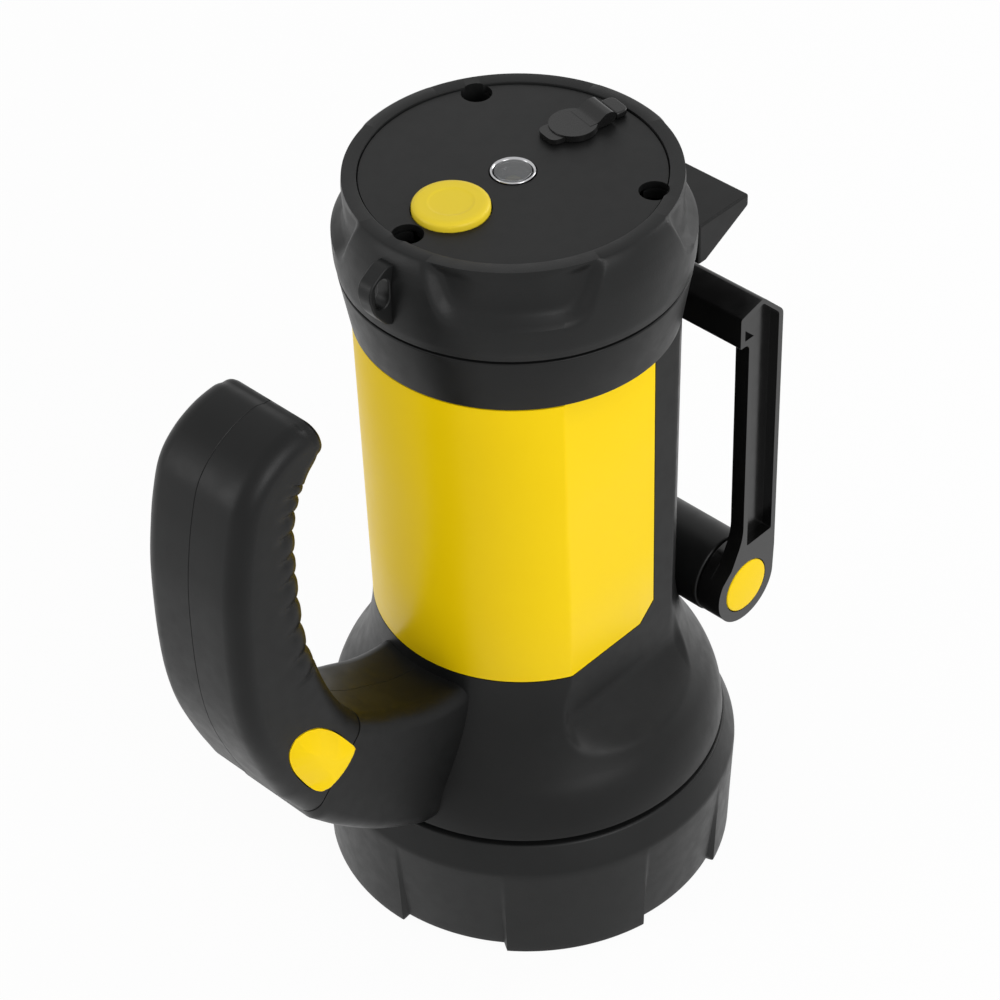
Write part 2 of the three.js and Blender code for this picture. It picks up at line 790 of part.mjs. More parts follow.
function shellCavity() {
  const round = turned([
    [0, skirtBottom - overrun],
    [shell.skirtRadius - shell.wall, skirtBottom - overrun],
    [shell.skirtRadius - shell.wall, shell.conicalStart],
    [shell.seatRadius, sinkBottom],
    [shell.seatRadius, ledgeHeight],
    [0, ledgeHeight],
  ]);
  const throat = flareOutline().slice(1, -1).map(([radius, height]) => [radius - shell.wall, height]);
  const hollow = turned([
    [0, throat[0][1]],
    ...throat,
    [shell.cavityRadius, shell.flareTop],
    [shell.cavityRadius, shell.top + overrun],
    [0, shell.top + overrun],
  ]);
  const reach = shell.flareRadius;
  const slab = block([-reach, reach], [-shell.cavityFlat, shell.cavityFlat], [0, shell.top + overrun * 2]);
  return round.add(hollow.intersect(slab));
}

function seamPoint(along, across) {
  const step = Math.SQRT1_2;
  return new THREE.Vector3(elbowX + (along + across) * step, 0, elbow.z + (across - along) * step);
}

function armStations(inset) {
  return armShares.map(([topX, topZ, bottomX, bottomZ]) => {
    const top = new THREE.Vector3(elbowX * topX, 0, elbow.z * topZ);
    const bottom = new THREE.Vector3(elbowX * bottomX, 0, elbow.z * bottomZ);
    const step = bottom.clone().sub(top).setLength(inset);
    return [top.add(step), bottom.sub(step)];
  });
}

function armRings(inset, start) {
  const seam = [seamPoint(start, elbow.halfChord - inset), seamPoint(start, inset - elbow.halfChord)];
  return [seam, ...armStations(inset)].map(([top, bottom]) => (
    sectionRing(top, bottom, arm.halfWidth - inset, elbow.corner)
  ));
}

function armBody() {
  return loft(armRings(0, gap / 2));
}

function armCavity() {
  const rings = armRings(arm.wall, gap / 2 + elbow.endWall);
  return loft([rings[0], ...rings.slice(2, 2 + arm.cavityEnd)]);
}

function swivelBore() {
  const from = seamPoint(-elbow.endWall - overrun, 0);
  const to = seamPoint(elbow.endWall + overrun, 0);
  return rod(from, to, spool.radius + gap);
}

function pivotTube() {
  const end = pivot.hubInner - gap;
  return crossRod([pivot.x, pivot.z], -end, end, pivot.tubeRadius);
}

function wholeHousing() {
  const outside = turned([
    [0, skirtBottom],
    [shell.skirtRadius, skirtBottom],
    [shell.skirtRadius, flareBottom],
    ...flareOutline(),
    [shell.upperRadius, shell.top],
    [0, shell.top],
  ]).subtract(topTrim());
  const backFlat = block(
    [shell.backFlat, shell.flareRadius + overrun],
    [-shell.upperRadius, shell.upperRadius],
    [shell.backFlatBottom, shell.top + overrun],
  );
  const recess = sleeveZone(gap).subtract(barrel(sleeve.thickness + gap, 0, shell.top + overrun));
  const tubeBore = crossRod(
    [pivot.x, pivot.z], -pivot.hubInner - overrun, pivot.hubInner + overrun,
    pivot.rodRadius + pivot.rodClearance, mediumSides,
  );
  const body = cut(outside, [...flatCutters(), backFlat, recess]);
  const withArm = join([body, armBody(), pivotTube()]);
  const hollow = cut(shellCavity(), bodyScrews().map(sideBoss));
  const armHollow = cut(armCavity(), armScrews().map(sideBoss));
  const holes = housingScrews().map(([place, seat]) => sideHole(place, seat));
  return cut(withArm, [hollow, armHollow, swivelBore(), tubeBore, ...holes]);
}

function armScrews() {
  const top = new THREE.CatmullRomCurve3(armStations(0).map(([first]) => first));
  const bottom = new THREE.CatmullRomCurve3(armStations(0).map(([, second]) => second));
  return armScrewShares.map(([along, across]) => {
    const place = top.getPoint(along).lerp(bottom.getPoint(along), across);
    return [place.x, place.z];
  });
}

function bodyScrews() {
  return bodyScrewShares.map((share) => [bodyScrewX, THREE.MathUtils.lerp(shell.flareTop, shell.top, share)]);
}

function housingScrews() {
  return [
    ...armScrews().map((place) => [place, armScrewSeat]),
    ...bodyScrews().map((place) => [place, bodyScrewSeat]),
  ];
}

function addBody() {
  const whole = wholeHousing();
  addPiece('housing_left', halfOf(whole, 1), materials.softBlack);
  addPiece('housing_right', halfOf(whole, -1), materials.softBlack);
  addPiece('body_sleeve', bodySleeve(), materials.yellow);
  housingScrews().forEach(([place, seat], i) => {
    addPiece(`housing_screw_${i + 1}`, sideScrew(place, seat), materials.steel);
  });
}

// Cells

function holderPlate(low, pocketUp) {
  const high = low + holder.thickness;
  const radius = shell.cavityRadius - gap;
  const flat = shell.cavityFlat - gap;
  const plateBody = disc(radius, low, high, largeSides).intersect(block([-radius, radius], [-flat, flat], [low, high]));
  const pocketRadius = cell.radius + holder.pocketClearance;
  const pocketLow = pocketUp ? high - holder.pocketDepth : low - overrun;
  const pocketHigh = pocketUp ? high + overrun : low + holder.pocketDepth;
  const pockets = cellPlaces().map(([x, y]) => moved(disc(pocketRadius, pocketLow, pocketHigh), x, y));
  const centre = disc(holder.centreRadius, low - overrun, high + overrun, smallSides);
  return cut(plateBody, [...pockets, centre]);
}

function cellPlaces() {
  const half = cell.pitch / 2;
  return [[-half, -half], [half, -half], [half, half], [-half, half]];
}

function addCells() {
  const low = holder.bottom + holder.thickness - holder.pocketDepth + gap;
  const high = low + cell.length;
  const upperHolder = high + gap - holder.pocketDepth;
  addPiece('battery_holder_lower', holderPlate(holder.bottom, true), materials.black);
  addPiece('battery_holder_upper', holderPlate(upperHolder, false), materials.black);
  const body = turned([
    [0, low],
    [cell.radius, low],
    [cell.radius, high - cell.capHeight],
    [cell.capRadius, high - cell.capHeight],
    [cell.capRadius, high],
    [0, high],
  ], mediumSides);
  cellPlaces().forEach(([x, y], i) => {
    addPiece(`battery_cell_${i + 1}`, moved(body, x, y), materials.cellWrap);
  });
  const leadLow = sinkBottom + heatSink.plateThickness + gap;
  const leadBody = disc(lead.radius, leadLow, boardBottom - gap, smallSides);
  addPiece('positive_lead', moved(leadBody, lead.spread, 0), materials.redWire);
  addPiece('negative_lead', moved(leadBody, -lead.spread, 0), materials.blackWire);
}

// Rear collar, ring and plate

// Copies of a solid at the rear screws
function atScrews(body, turn = 0) {
  return rearScrew.angles.map((angle) => turnedBy(moved(body, rearScrew.circle, 0), angle + turn));
}

function rearCollar() {
  const outside = turned([
    [0, shell.top],
    [collar.bottomRadius, shell.top],
    [collar.topRadius, collarTop],
    [0, collarTop],
  ]);
  const foot = alongY([
    [rearFoot.root, collarTop],
    [rearFoot.face, collarTop],
    [rearFoot.face, collarTop - rearFoot.faceHeight],
    [rearFoot.heel, collarTop - rearFoot.rootHeight],
    [rearFoot.root, collarTop - rearFoot.rootHeight],
  ], -rearFoot.halfWidth, rearFoot.halfWidth);
  const spigotRadius = shell.cavityRadius - gap;
  const spigotFlat = shell.cavityFlat - gap;
  const spigotLow = shell.top - collar.spigot;
  const spigotSlab = block([-spigotRadius, spigotRadius], [-spigotFlat, spigotFlat], [spigotLow, collarTop]);
  const spigot = disc(spigotRadius, spigotLow, collarTop, largeSides).intersect(spigotSlab);
  const boreSlab = block(
    [-collar.boreRadius, collar.boreRadius], [-collar.boreFlat, collar.boreFlat],
    [spigotLow - overrun, collarTop + overrun],
  );
  const bore = disc(collar.boreRadius, spigotLow - overrun, collarTop + overrun, largeSides).intersect(boreSlab);
  const groove = tube(collar.sealInner, collar.sealOuter, collarTop - collar.sealDepth, collarTop + overrun);
  const bossLow = collarTop - rearScrew.holeDepth - rearScrew.holeRadius;
  const holeLow = collarTop - rearScrew.holeDepth;
  const bosses = atScrews(disc(rearScrew.bossRadius, bossLow, collarTop, smallSides), rearTurn);
  const holes = atScrews(disc(rearScrew.holeRadius, holeLow, collarTop + overrun, smallSides), rearTurn);
  const body = cut(join([outside, foot, spigot]), [bore]);
  return cut(join([body, ...bosses.map((boss) => boss.intersect(outside))]), [groove, ...holes]);
}

function ringOutline() {
  const height = ringTop - ringBottom;
  const bulge = ringBulgeShares.map(([swell, rise]) => [
    ring.bottomRadius + swell * (ring.lobeRadius - ring.bottomRadius),
    ringBottom + rise * height,
  ]);
  const rim = ringRimShares.map(([swell, rise]) => [
    THREE.MathUtils.lerp(ring.topRadius, ring.bottomRadius, swell),
    ringBottom + rise * height,
  ]);
  return [...bulge, ...rim];
}

function scallopCutters() {
  const low = ringBottom + ring.scallopRise;
  const high = ringTop + overrun;
  const outline = roundedOutline([
    [-ring.scallopBottomHalf, low],
    [ring.scallopBottomHalf, low],
    [ring.scallopTopHalf, high],
    [-ring.scallopTopHalf, high],
  ], Array(4).fill(ring.scallopCorner), 3);
  const core = turned([
    [0, ringBottom],
    [ring.floorRadius, ringBottom],
    [ring.floorRadius, low],
    [ring.floorTopRadius, ringTop],
    [ring.floorTopRadius, high],
    [0, high],
  ]);
  const cutter = alongX(outline, ring.ledgeRadius, ring.lobeRadius + overrun).subtract(core);
  return Array.from({ length: ring.scallopCount }, (_, i) => (
    turnedBy(cutter, ((i + 0.5) * 2 * Math.PI) / ring.scallopCount + rearTurn)
  ));
}

function lanyardLug() {
  const outline = lugShares.map(([reach, rise]) => [
    -THREE.MathUtils.lerp(lug.root, lug.reach, reach),
    ringBottom + lug.rise + lug.height * rise,
  ]);
  return alongY(outline, -lug.thickness / 2, lug.thickness / 2);
}

function lanyardHole() {
  const half = lug.thickness / 2 + overrun;
  const low = ringBottom + lug.holeRise;
  const high = low + lug.holeHeight;
  const left = -lug.holeReach - lug.holeRadius;
  const right = -lug.holeReach + lug.holeRadius;
  return join([
    crossRod([-lug.holeReach, low], -half, half, lug.holeRadius, smallSides),
    crossRod([-lug.holeReach, high], -half, half, lug.holeRadius, smallSides),
    alongY([[left, low], [right, low], [right, high], [left, high]], -half, half),
  ]);
}

function rearRing() {
  const outside = turned([
    ...ringOutline(),
    [ring.pocketRadius, ringTop],
    [ring.pocketRadius, ledgeTop],
    [ring.ledgeRadius, ledgeTop],
    [ring.ledgeRadius, ledgeTop - ring.ledgeThickness],
    [ring.boreRadius, ledgeTop - ring.ledgeThickness],
    [ring.boreRadius, ringBottom],
  ]);
  const core = disc(ring.floorRadius, ringBottom, ringTop);
  const boss = disc(rearScrew.bossRadius, ringBottom, ringBottom + rearScrew.bossHeight, smallSides);
  const bosses = atScrews(boss, rearTurn).map((body) => body.intersect(core));
  const well = disc(rearScrew.wellRadius, wellFloor, ringTop + overrun);
  const wells = atScrews(well, rearTurn);
  const holes = atScrews(disc(rearScrew.holeRadius, ringBottom - overrun, ringTop, smallSides), rearTurn);
  const shaped = join([cut(outside, scallopCutters()), lanyardLug()]);
  return cut(join([shaped, ...bosses]), [...wells, ...holes, lanyardHole()]);
}

function postPlaces() {
  return [[-1, -1], [1, -1], [1, 1], [-1, 1]].map(([x, y]) => [x * plate.postX, y * plate.postY]);
}

function rearPlate() {
  const posts = postPlaces().flatMap(([x, y]) => [
    moved(disc(plate.postRadius, plateBottom - plate.postLength, plateTop, smallSides), x, y),
    moved(disc(plate.pinRadius, boardBottom, plateBottom, smallSides), x, y),
  ]);
  const holes = [
    moved(disc(button.radius + gap, plateBottom - overrun, plateTop + overrun), button.x, 0),
    disc(indicator.hole, plateBottom - overrun, plateTop + overrun),
    ...chargingCutters(),
    ...atScrews(disc(rearScrew.plateHoleRadius, plateBottom - overrun, plateTop + overrun)),
  ];
  return cut(join([disc(plate.radius, plateBottom, plateTop, largeSides), ...posts]), holes);
}

// The openings for the charging socket and its cover's anchor, in the plate's frame
function chargingCutters() {
  const low = plateBottom - overrun;
  const high = plateTop + overrun;
  const slot = block(
    [-socketWell.thickness / 2, socketWell.thickness / 2],
    [-socketWell.width / 2, socketWell.width / 2],
    [low, high],
  );
  const stemHole = moved(disc(coverAnchor.stemRadius + gap, low, high, smallSides), anchorX(), 0);
  const toPlate = new THREE.Matrix4().makeRotationZ(-rearTurn)
    .multiply(new THREE.Matrix4().makeTranslation(charging.x, charging.y, 0))
    .multiply(new THREE.Matrix4().makeRotationZ(charging.turn));
  return [placed(slot, toPlate), placed(stemHole, toPlate)];
}

function controlBoard() {
  const holes = postPlaces().map(([x, y]) => (
    moved(disc(plate.pinRadius + board.pinClearance, boardBottom - overrun, boardTop + overrun, smallSides), x, y)
  ));
  return cut(disc(board.radius, boardBottom, boardTop, largeSides), holes);
}

function switchBody() {
  const low = boardTop + gap;
  const half = powerSwitch.halfWidth;
  const body = block([-half, half], [-half, half], [low, low + powerSwitch.height]);
  const top = low + powerSwitch.height;
  const bore = disc(powerSwitch.boreRadius, top - powerSwitch.boreDepth, top + overrun, mediumSides);
  return moved(body.subtract(bore), button.x, 0);
}

function buttonBody() {
  const flangeHigh = plateBottom - gap;
  const flangeLow = flangeHigh - button.flangeThickness;
  const top = plateTop + button.proud;
  return moved(turned([
    [0, flangeLow - button.stemLength],
    [button.stemRadius, flangeLow - button.stemLength],
    [button.stemRadius, flangeLow],
    [button.flangeRadius, flangeLow],
    [button.flangeRadius, flangeHigh],
    [button.radius, flangeHigh],
    [button.radius, top - button.chamfer],
    [button.radius - button.chamfer, top],
    [0, top],
  ], mediumSides), button.x, 0);
}

function indicatorLens() {
  const flangeHigh = plateBottom - gap;
  return turned([
    [0, flangeHigh - indicator.flangeThickness],
    [indicator.flangeRadius, flangeHigh - indicator.flangeThickness],
    [indicator.flangeRadius, flangeHigh],
    [indicator.radius, flangeHigh],
    [indicator.radius, plateTop + indicator.proud],
    [0, plateTop + indicator.proud],
  ], mediumSides);
}

function socketBody() {
  const low = boardTop + gap;
  const high = low + socket.height;
  const x = [-socket.thickness / 2, socket.thickness / 2];
  const mouthX = [-socket.mouthThickness / 2, socket.mouthThickness / 2];
  const body = block(x, [-socket.width / 2, socket.width / 2], [low, high]);
  const mouthY = [-socket.mouthWidth / 2, socket.mouthWidth / 2];
  return body.subtract(block(mouthX, mouthY, [high - socket.mouthDepth, high + overrun]));
}

function anchorX() {
  return cover.hingeX + cover.hingeRadius + coverAnchor.clearance + coverAnchor.length / 2;
}

function socketCover() {
  const low = plateTop + gap;
  const high = low + cover.thickness;
  const hinge = [cover.hingeX, low + cover.hingeRadius];
  const lid = disc(cover.radius, low, high);
  const tab = alongZ(roundedOutline([
    [0, -cover.tabHalfWidth],
    [0, cover.tabHalfWidth],
    [-cover.tabReach, cover.tabHalfWidth],
    [-cover.tabReach, -cover.tabHalfWidth],
  ], Array(4).fill(cover.tabCorner)), low, high);
  const plug = block(
    [-cover.plugThickness / 2, cover.plugThickness / 2],
    [-cover.plugWidth / 2, cover.plugWidth / 2],
    [plateTop - cover.plugDepth, high],
  );
  const strap = alongY([
    [0, low],
    [hinge[0], low],
    [hinge[0], hinge[1] + cover.hingeRadius],
    [hinge[0] - cover.strapThickness, hinge[1] + cover.hingeRadius],
    [cover.radius - cover.strapThickness, high],
    [0, high],
  ], -cover.strapHalfWidth, cover.strapHalfWidth);
  const knuckle = crossRod(hinge, -cover.strapHalfWidth, cover.strapHalfWidth, cover.hingeRadius, smallSides);
  return join([lid, tab, plug, strap, knuckle]);
}

function socketCoverAnchor() {
  const left = cover.hingeX + cover.hingeRadius + coverAnchor.clearance;
  const right = left + coverAnchor.length;
  const low = plateTop + gap;
  const outline = roundedOutline([
    [left, -coverAnchor.halfWidth],
    [right, -coverAnchor.halfWidth],
    [right, coverAnchor.halfWidth],
    [left, coverAnchor.halfWidth],
  ], [cover.strapThickness / 2, coverAnchor.length / 2, coverAnchor.length / 2, cover.strapThickness / 2]);
  const knob = alongZ(outline, low, plateTop + coverAnchor.height);
  const stemLow = plateTop - coverAnchor.stemLength;
  return knob.add(moved(disc(coverAnchor.stemRadius, stemLow, low + gap, smallSides), anchorX(), 0));
}

function rearScrews() {
  const seat = wellFloor + gap;
  const head = disc(rearScrew.headRadius, seat, seat + rearScrew.headHeight, mediumSides);
  const shankTop = seat + rearScrew.headHeight / 2;
  const shank = disc(rearScrew.shankRadius, seat - rearScrew.length, shankTop, smallSides);
  return atScrews(head.add(shank));
}

function addRear() {
  addPiece('rear_collar', rearCollar(), materials.softBlack);
  const sealLow = collarTop - collar.sealDepth + gap;
  const sealBody = tube(collar.sealInner + gap, collar.sealOuter - gap, sealLow, collarTop);
  addPiece('rear_seal', sealBody, materials.rubber);
  addPiece('rear_ring', rearRing(), materials.softBlack);
  addPiece('rear_plate', rearPlate(), materials.black, rear);
  addPiece('control_board', controlBoard(), materials.greenBoard, rear);
  addPiece('power_switch', switchBody(), materials.black, rear);
  addPiece('power_button', buttonBody(), materials.yellow, rear);
  const ledLow = boardTop + gap;
  const led = disc(indicator.ledRadius, ledLow, ledLow + indicator.ledHeight, smallSides);
  addPiece('indicator_led', led, materials.whitePlastic, rear);
  addPiece('indicator_lens', indicatorLens(), materials.clear, rear);
  addPiece('usb_socket', socketBody(), materials.steel, chargingPlace);
  addPiece('usb_cover', socketCover(), materials.rubber, chargingPlace);
  addPiece('usb_cover_anchor', socketCoverAnchor(), materials.rubber, chargingPlace);
  rearScrews().forEach((body, i) => {
    addPiece(`rear_screw_${i + 1}`, body, materials.steel, rear);
  });
}

// Folding stand

function standArm(low, high) {
  const hub = crossRod([pivot.x, pivot.z], low, high, pivot.hubRadius);
  const outline = [
    [stand.barInner, barBottom],
    [stand.barInner, barCorner],
    [barPeakX, barPeak],
    [stand.armOuter, barShoulder],
    [stand.armOuter, pivot.z],
    [pivot.x - pivot.hubRadius / 2, pivot.z],
    [pivot.x - pivot.hubRadius * Math.cos(Math.PI / 6), pivot.z + pivot.hubRadius / 2],
    [stand.neckFootX, pivot.z + stand.neckFootRise],
    [stand.armInner, pivot.z + stand.neckHeight],
    [stand.armInner, barBottom],
  ];
  return hub.add(alongY(outline, low, high));
}

function standTrough(low, high) {
  return alongY([
    [stand.barInner + stand.rim, barBottom + stand.rim],
    [stand.barInner + stand.rim, barCorner - stand.rim],
    [barPeakX, barPeak - stand.rim],
    [stand.armOuter - stand.rim, barShoulder],
    [stand.armOuter - stand.rim, stand.troughBottom],
    [stand.armInner + stand.rim, stand.troughBottom],
    [stand.armInner + stand.rim, barBottom + stand.rim],
  ], low, high);
}

function standBracket() {
  const bar = alongY([
    [stand.barInner, barBottom],
    [stand.barInner, barCorner],
    [barPeakX, barPeak],
    [stand.armOuter, barShoulder],
    [stand.armOuter, barBottom],
  ], -stand.outer, stand.outer);
  const pocket = block(
    [stand.barInner + stand.barWall, stand.armOuter - stand.barWall],
    [-stand.inner, stand.inner],
    [barBottom - overrun, barShoulder],
  );
  const place = [pivot.x, pivot.z];
  const sides = [-1, 1].flatMap((side) => {
    const span = (from, to) => (side > 0 ? [from, to] : [-to, -from]);
    const capFloor = stand.outer - pivot.capPocketDepth;
    return [{
      arm: standArm(...span(stand.inner, stand.outer)),
      hub: crossRod(place, ...span(pivot.hubInner, stand.outer), pivot.hubRadius),
      cutters: [
        standTrough(...span(stand.outer - stand.troughDepth, stand.outer + overrun)),
        crossRod(place, ...span(0, stand.outer + overrun), pivot.rodRadius + pivot.rodClearance),
        crossRod(place, ...span(pivot.screwPocketFloor, stand.outer + overrun), pivot.screwPocketRadius),
        crossRod(place, ...span(capFloor, stand.outer + overrun), pivot.capPocketRadius),
      ],
    }];
  });
  const body = join([bar, ...sides.flatMap((side) => [side.arm, side.hub])]);
  return cut(body, [pocket, ...sides.flatMap((side) => side.cutters)]);
}

function addStand() {
  const place = [pivot.x, pivot.z];
  const washerFace = pivot.screwPocketFloor + gap;
  const screwFace = washerFace + standWasher.thickness + gap;
  const rodEnd = washerFace + standWasher.thickness;
  const capFace = stand.outer - pivot.capPocketDepth + gap;
  addPiece('stand_bracket', standBracket(), materials.glossBlack);
  const screwBore = rodEnd - standScrew.length - overrun;
  const rodBody = cut(crossRod(place, -rodEnd, rodEnd, pivot.rodRadius), [
    crossRod(place, screwBore, rodEnd + overrun, standScrew.boreRadius, smallSides),
    crossRod(place, -rodEnd - overrun, -screwBore, standScrew.boreRadius, smallSides),
  ]);
  addPiece('stand_pivot_rod', rodBody, materials.steel);
  [['left', 1], ['right', -1]].forEach(([name, side]) => {
    const at = (from, to, radius, sides) => {
      const [low, high] = side > 0 ? [from, to] : [-to, -from];
      return crossRod(place, low, high, radius, sides);
    };
    const washerBore = at(0, stand.outer, pivot.rodRadius + pivot.rodClearance, mediumSides);
    const washer = at(washerFace, rodEnd, standWasher.radius, mediumSides).subtract(washerBore);
    addPiece(`stand_washer_${name}`, washer, materials.steel);
    const head = at(screwFace, screwFace + standScrew.headHeight, standScrew.headRadius, mediumSides);
    const shankEnd = screwFace + standScrew.headHeight / 2;
    const shank = at(screwFace - standScrew.length, shankEnd, standScrew.shankRadius, smallSides);
    addPiece(`stand_screw_${name}`, head.add(shank), materials.steel);
    const cap = at(capFace, capFace + standCap.thickness, standCap.radius, mediumSides);
    addPiece(`stand_cap_${name}`, cap, materials.yellow);
  });
}

// Grip

function gripCurves(inset) {
  const height = grip.top - elbow.z;
  const outer = [];
  const inner = [];
  gripShares.forEach(([outerX, outerZ, innerX, innerZ]) => {
    const first = new THREE.Vector3(-grip.reach * outerX, 0, elbow.z + height * outerZ);
    const second = new THREE.Vector3(-grip.reach * innerX, 0, elbow.z + height * innerZ);
    const step = second.clone().sub(first).setLength(inset);
    outer.push(first.add(step));
    inner.push(second.sub(step));
  });
  return {
    outer: new THREE.CatmullRomCurve3(outer, false, 'centripetal'),
    inner: new THREE.CatmullRomCurve3(inner, false, 'centripetal'),
  };
}

function gripSection(curves, station, inset, notch) {
  const share = station / (gripShares.length - 1);
  const outer = curves.outer.getPoint(share);
  const inner = curves.inner.getPoint(share);
  inner.add(outer.clone().sub(inner).setLength(notch));
  const low = Math.floor(station);
  const high = Math.min(low + 1, gripShares.length - 1);
  const widthShare = THREE.MathUtils.lerp(gripShares[low][4], gripShares[high][4], station - low);
  return sectionRing(outer, inner, grip.halfWidth * widthShare - inset, grip.corner);
}

function gripOutside() {
  const curves = gripCurves(0);
  const seam = sectionRing(
    seamPoint(-gap / 2, -elbow.halfChord), seamPoint(-gap / 2, elbow.halfChord),
    elbow.halfWidth, elbow.corner,
  );
  const stations = [];
  for (let station = 0; station < grip.ribFirst; station += 1) stations.push([station, 0]);
  const halfRibs = grip.ribCount * 2;
  for (let i = 0; i <= halfRibs; i += 1) {
    const station = THREE.MathUtils.lerp(grip.ribFirst, grip.ribLast, i / halfRibs);
    stations.push([station, i % 2 === 1 ? grip.ribDepth : 0]);
  }
  for (let station = grip.ribLast + 1; station < gripShares.length; station += 1) stations.push([station, 0]);
  return loft([seam, ...stations.map(([station, notch]) => gripSection(curves, station, 0, notch))]);
}

function gripCavity() {
  const curves = gripCurves(grip.wall);
  const start = -gap / 2 - elbow.endWall;
  const chord = elbow.halfChord - grip.wall;
  const seam = sectionRing(
    seamPoint(start, -chord), seamPoint(start, chord),
    elbow.halfWidth - grip.wall, elbow.corner,
  );
  const rings = [seam];
  for (let station = 1; station <= grip.cavityLast; station += 1) {
    rings.push(gripSection(curves, station, grip.wall, grip.ribDepth));
  }
  return loft(rings);
}

function gripScrews() {
  const { outer, inner } = gripCurves(0);
  return gripScrewShares.map(([along, across]) => {
    const place = outer.getPoint(along).lerp(inner.getPoint(along), across);
    return [place.x, place.z];
  });
}

function lockPlace([across, up]) {
  return [elbowX + across * lockButton.width, elbow.z + up * lockButton.height];
}

function lockOutline(distance) {
  const corners = lockShares.map(lockPlace);
  const outline = roundedOutline(corners, lockButton.corners);
  return distance ? grown(outline, distance) : outline;
}

// The button's window reaches past the elbow's end wall, so that the button can travel
const lockWindowFloor = lockButton.inner + lockButton.travel + gap;

function gripHalf(outside, cavity, side) {
  const holes = gripScrews().map((place) => sideHole(place, gripScrewSeat));
  const hollow = cut(outside, [cut(cavity, gripScrews().map(sideBoss)), swivelBore(), ...holes]);
  if (side > 0) {
    const stem = lockPlace(lockStemShares);
    const seat = crossRod(stem, lockBoss.end, grip.halfWidth - grip.wall / 2, lockBoss.radius, mediumSides);
    return halfOf(hollow, side).add(seat);
  }
  const window = alongY(lockOutline(gap), lockButton.outer - overrun, lockWindowFloor);
  return halfOf(hollow, side).subtract(window);
}

function lockButtonBody() {
  const outline = lockOutline(0);
  const face = lockButton.outer + lockButton.chamfer;
  const cap = alongY(lockOutline(-lockButton.chamfer), lockButton.outer, face + gap);
  const stem = lockPlace(lockStemShares);
  const post = crossRod(stem, lockButton.inner - gap, lockButton.stemEnd, lockButton.stemRadius, smallSides);
  return join([alongY(outline, face, lockButton.inner), cap, post]);
}

// The spring moves with the button, so it stops short of the boss by the button's travel
const lockSpringStart = lockButton.inner + lockSpring.wire + gap / 2;
const lockSpringEnd = lockBoss.end - lockButton.travel - lockSpring.wire - gap;

class Helix extends THREE.Curve {
  getPoint(share) {
    const angle = share * lockSpring.turns * 2 * Math.PI;
    const [x, z] = lockPlace(lockStemShares);
    return new THREE.Vector3(
      x + lockSpring.radius * Math.cos(angle),
      THREE.MathUtils.lerp(lockSpringStart, lockSpringEnd, share),
      z + lockSpring.radius * Math.sin(angle),
    );
  }
}

function lockSpringBody() {
  const wire = Array.from({ length: lockSpring.sides }, (_, i) => {
    const angle = (i * 2 * Math.PI) / lockSpring.sides;
    return [lockSpring.wire * Math.cos(angle), lockSpring.wire * Math.sin(angle)];
  });
  return solid(new THREE.ExtrudeGeometry(shapeOf(wire), {
    steps: lockSpring.turns * lockSpring.stepsPerTurn,
    extrudePath: new Helix(),
  }));
}

function spoolBody() {
  const flangeStart = gap / 2 + elbow.endWall + gap;
  const end = flangeStart + spool.flangeThickness;
  const along = (from, to, radius) => rod(seamPoint(from, 0), seamPoint(to, 0), radius);
  return join([
    along(-end, end, spool.radius),
    along(-end, -flangeStart, spool.flangeRadius),
    along(flangeStart, end, spool.flangeRadius),
  ]).subtract(along(-end - overrun, end + overrun, spool.boreRadius));
}

function addHandle() {
  const outside = gripOutside();
  const cavity = gripCavity();
  addPiece('grip_left', gripHalf(outside, cavity, 1), materials.softBlack);
  addPiece('grip_right', gripHalf(outside, cavity, -1), materials.softBlack);
  addPiece('swivel_spool', spoolBody(), materials.black);
  addPiece('lock_button', lockButtonBody(), materials.yellow);
  addPiece('lock_spring', lockSpringBody(), materials.steel);
  gripScrews().forEach((place, i) => {
    addPiece(`grip_screw_${i + 1}`, sideScrew(place, gripScrewSeat), materials.steel);
  });
}

addHead();
addBody();
addCells();
addRear();
addStand();
addHandle();

export default torch;
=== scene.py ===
import json
import math

import bmesh
import bpy
from mathutils import Matrix, Vector


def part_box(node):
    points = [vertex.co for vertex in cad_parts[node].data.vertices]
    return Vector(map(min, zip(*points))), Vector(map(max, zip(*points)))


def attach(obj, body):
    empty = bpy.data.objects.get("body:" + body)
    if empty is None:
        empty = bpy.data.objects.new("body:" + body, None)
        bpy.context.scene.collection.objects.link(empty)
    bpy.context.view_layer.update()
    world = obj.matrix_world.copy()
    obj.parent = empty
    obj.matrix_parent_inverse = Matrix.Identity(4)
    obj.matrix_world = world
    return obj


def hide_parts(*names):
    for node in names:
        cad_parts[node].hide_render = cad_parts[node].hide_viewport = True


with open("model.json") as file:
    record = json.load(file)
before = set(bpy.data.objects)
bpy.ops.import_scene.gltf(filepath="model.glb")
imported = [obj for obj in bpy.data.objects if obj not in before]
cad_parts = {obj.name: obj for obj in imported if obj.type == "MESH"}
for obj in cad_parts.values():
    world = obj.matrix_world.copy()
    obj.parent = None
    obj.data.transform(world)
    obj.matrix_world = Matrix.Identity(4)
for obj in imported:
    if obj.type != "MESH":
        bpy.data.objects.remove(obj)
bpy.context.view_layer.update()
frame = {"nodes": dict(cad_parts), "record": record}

# Shapes are drawn in millimetres, with heights above the bezel's feet, and are brought
# to metres when they are finished. The origin is the centre of the lens's outer face.
millimetre = 0.001
feetBelowLens = 3.6
rearTurn = math.radians(-2)  # the rear ring, its plate and screws sit turned by this
fullTurn = 2 * math.pi
mergeDistance = 1e-4


# Paths

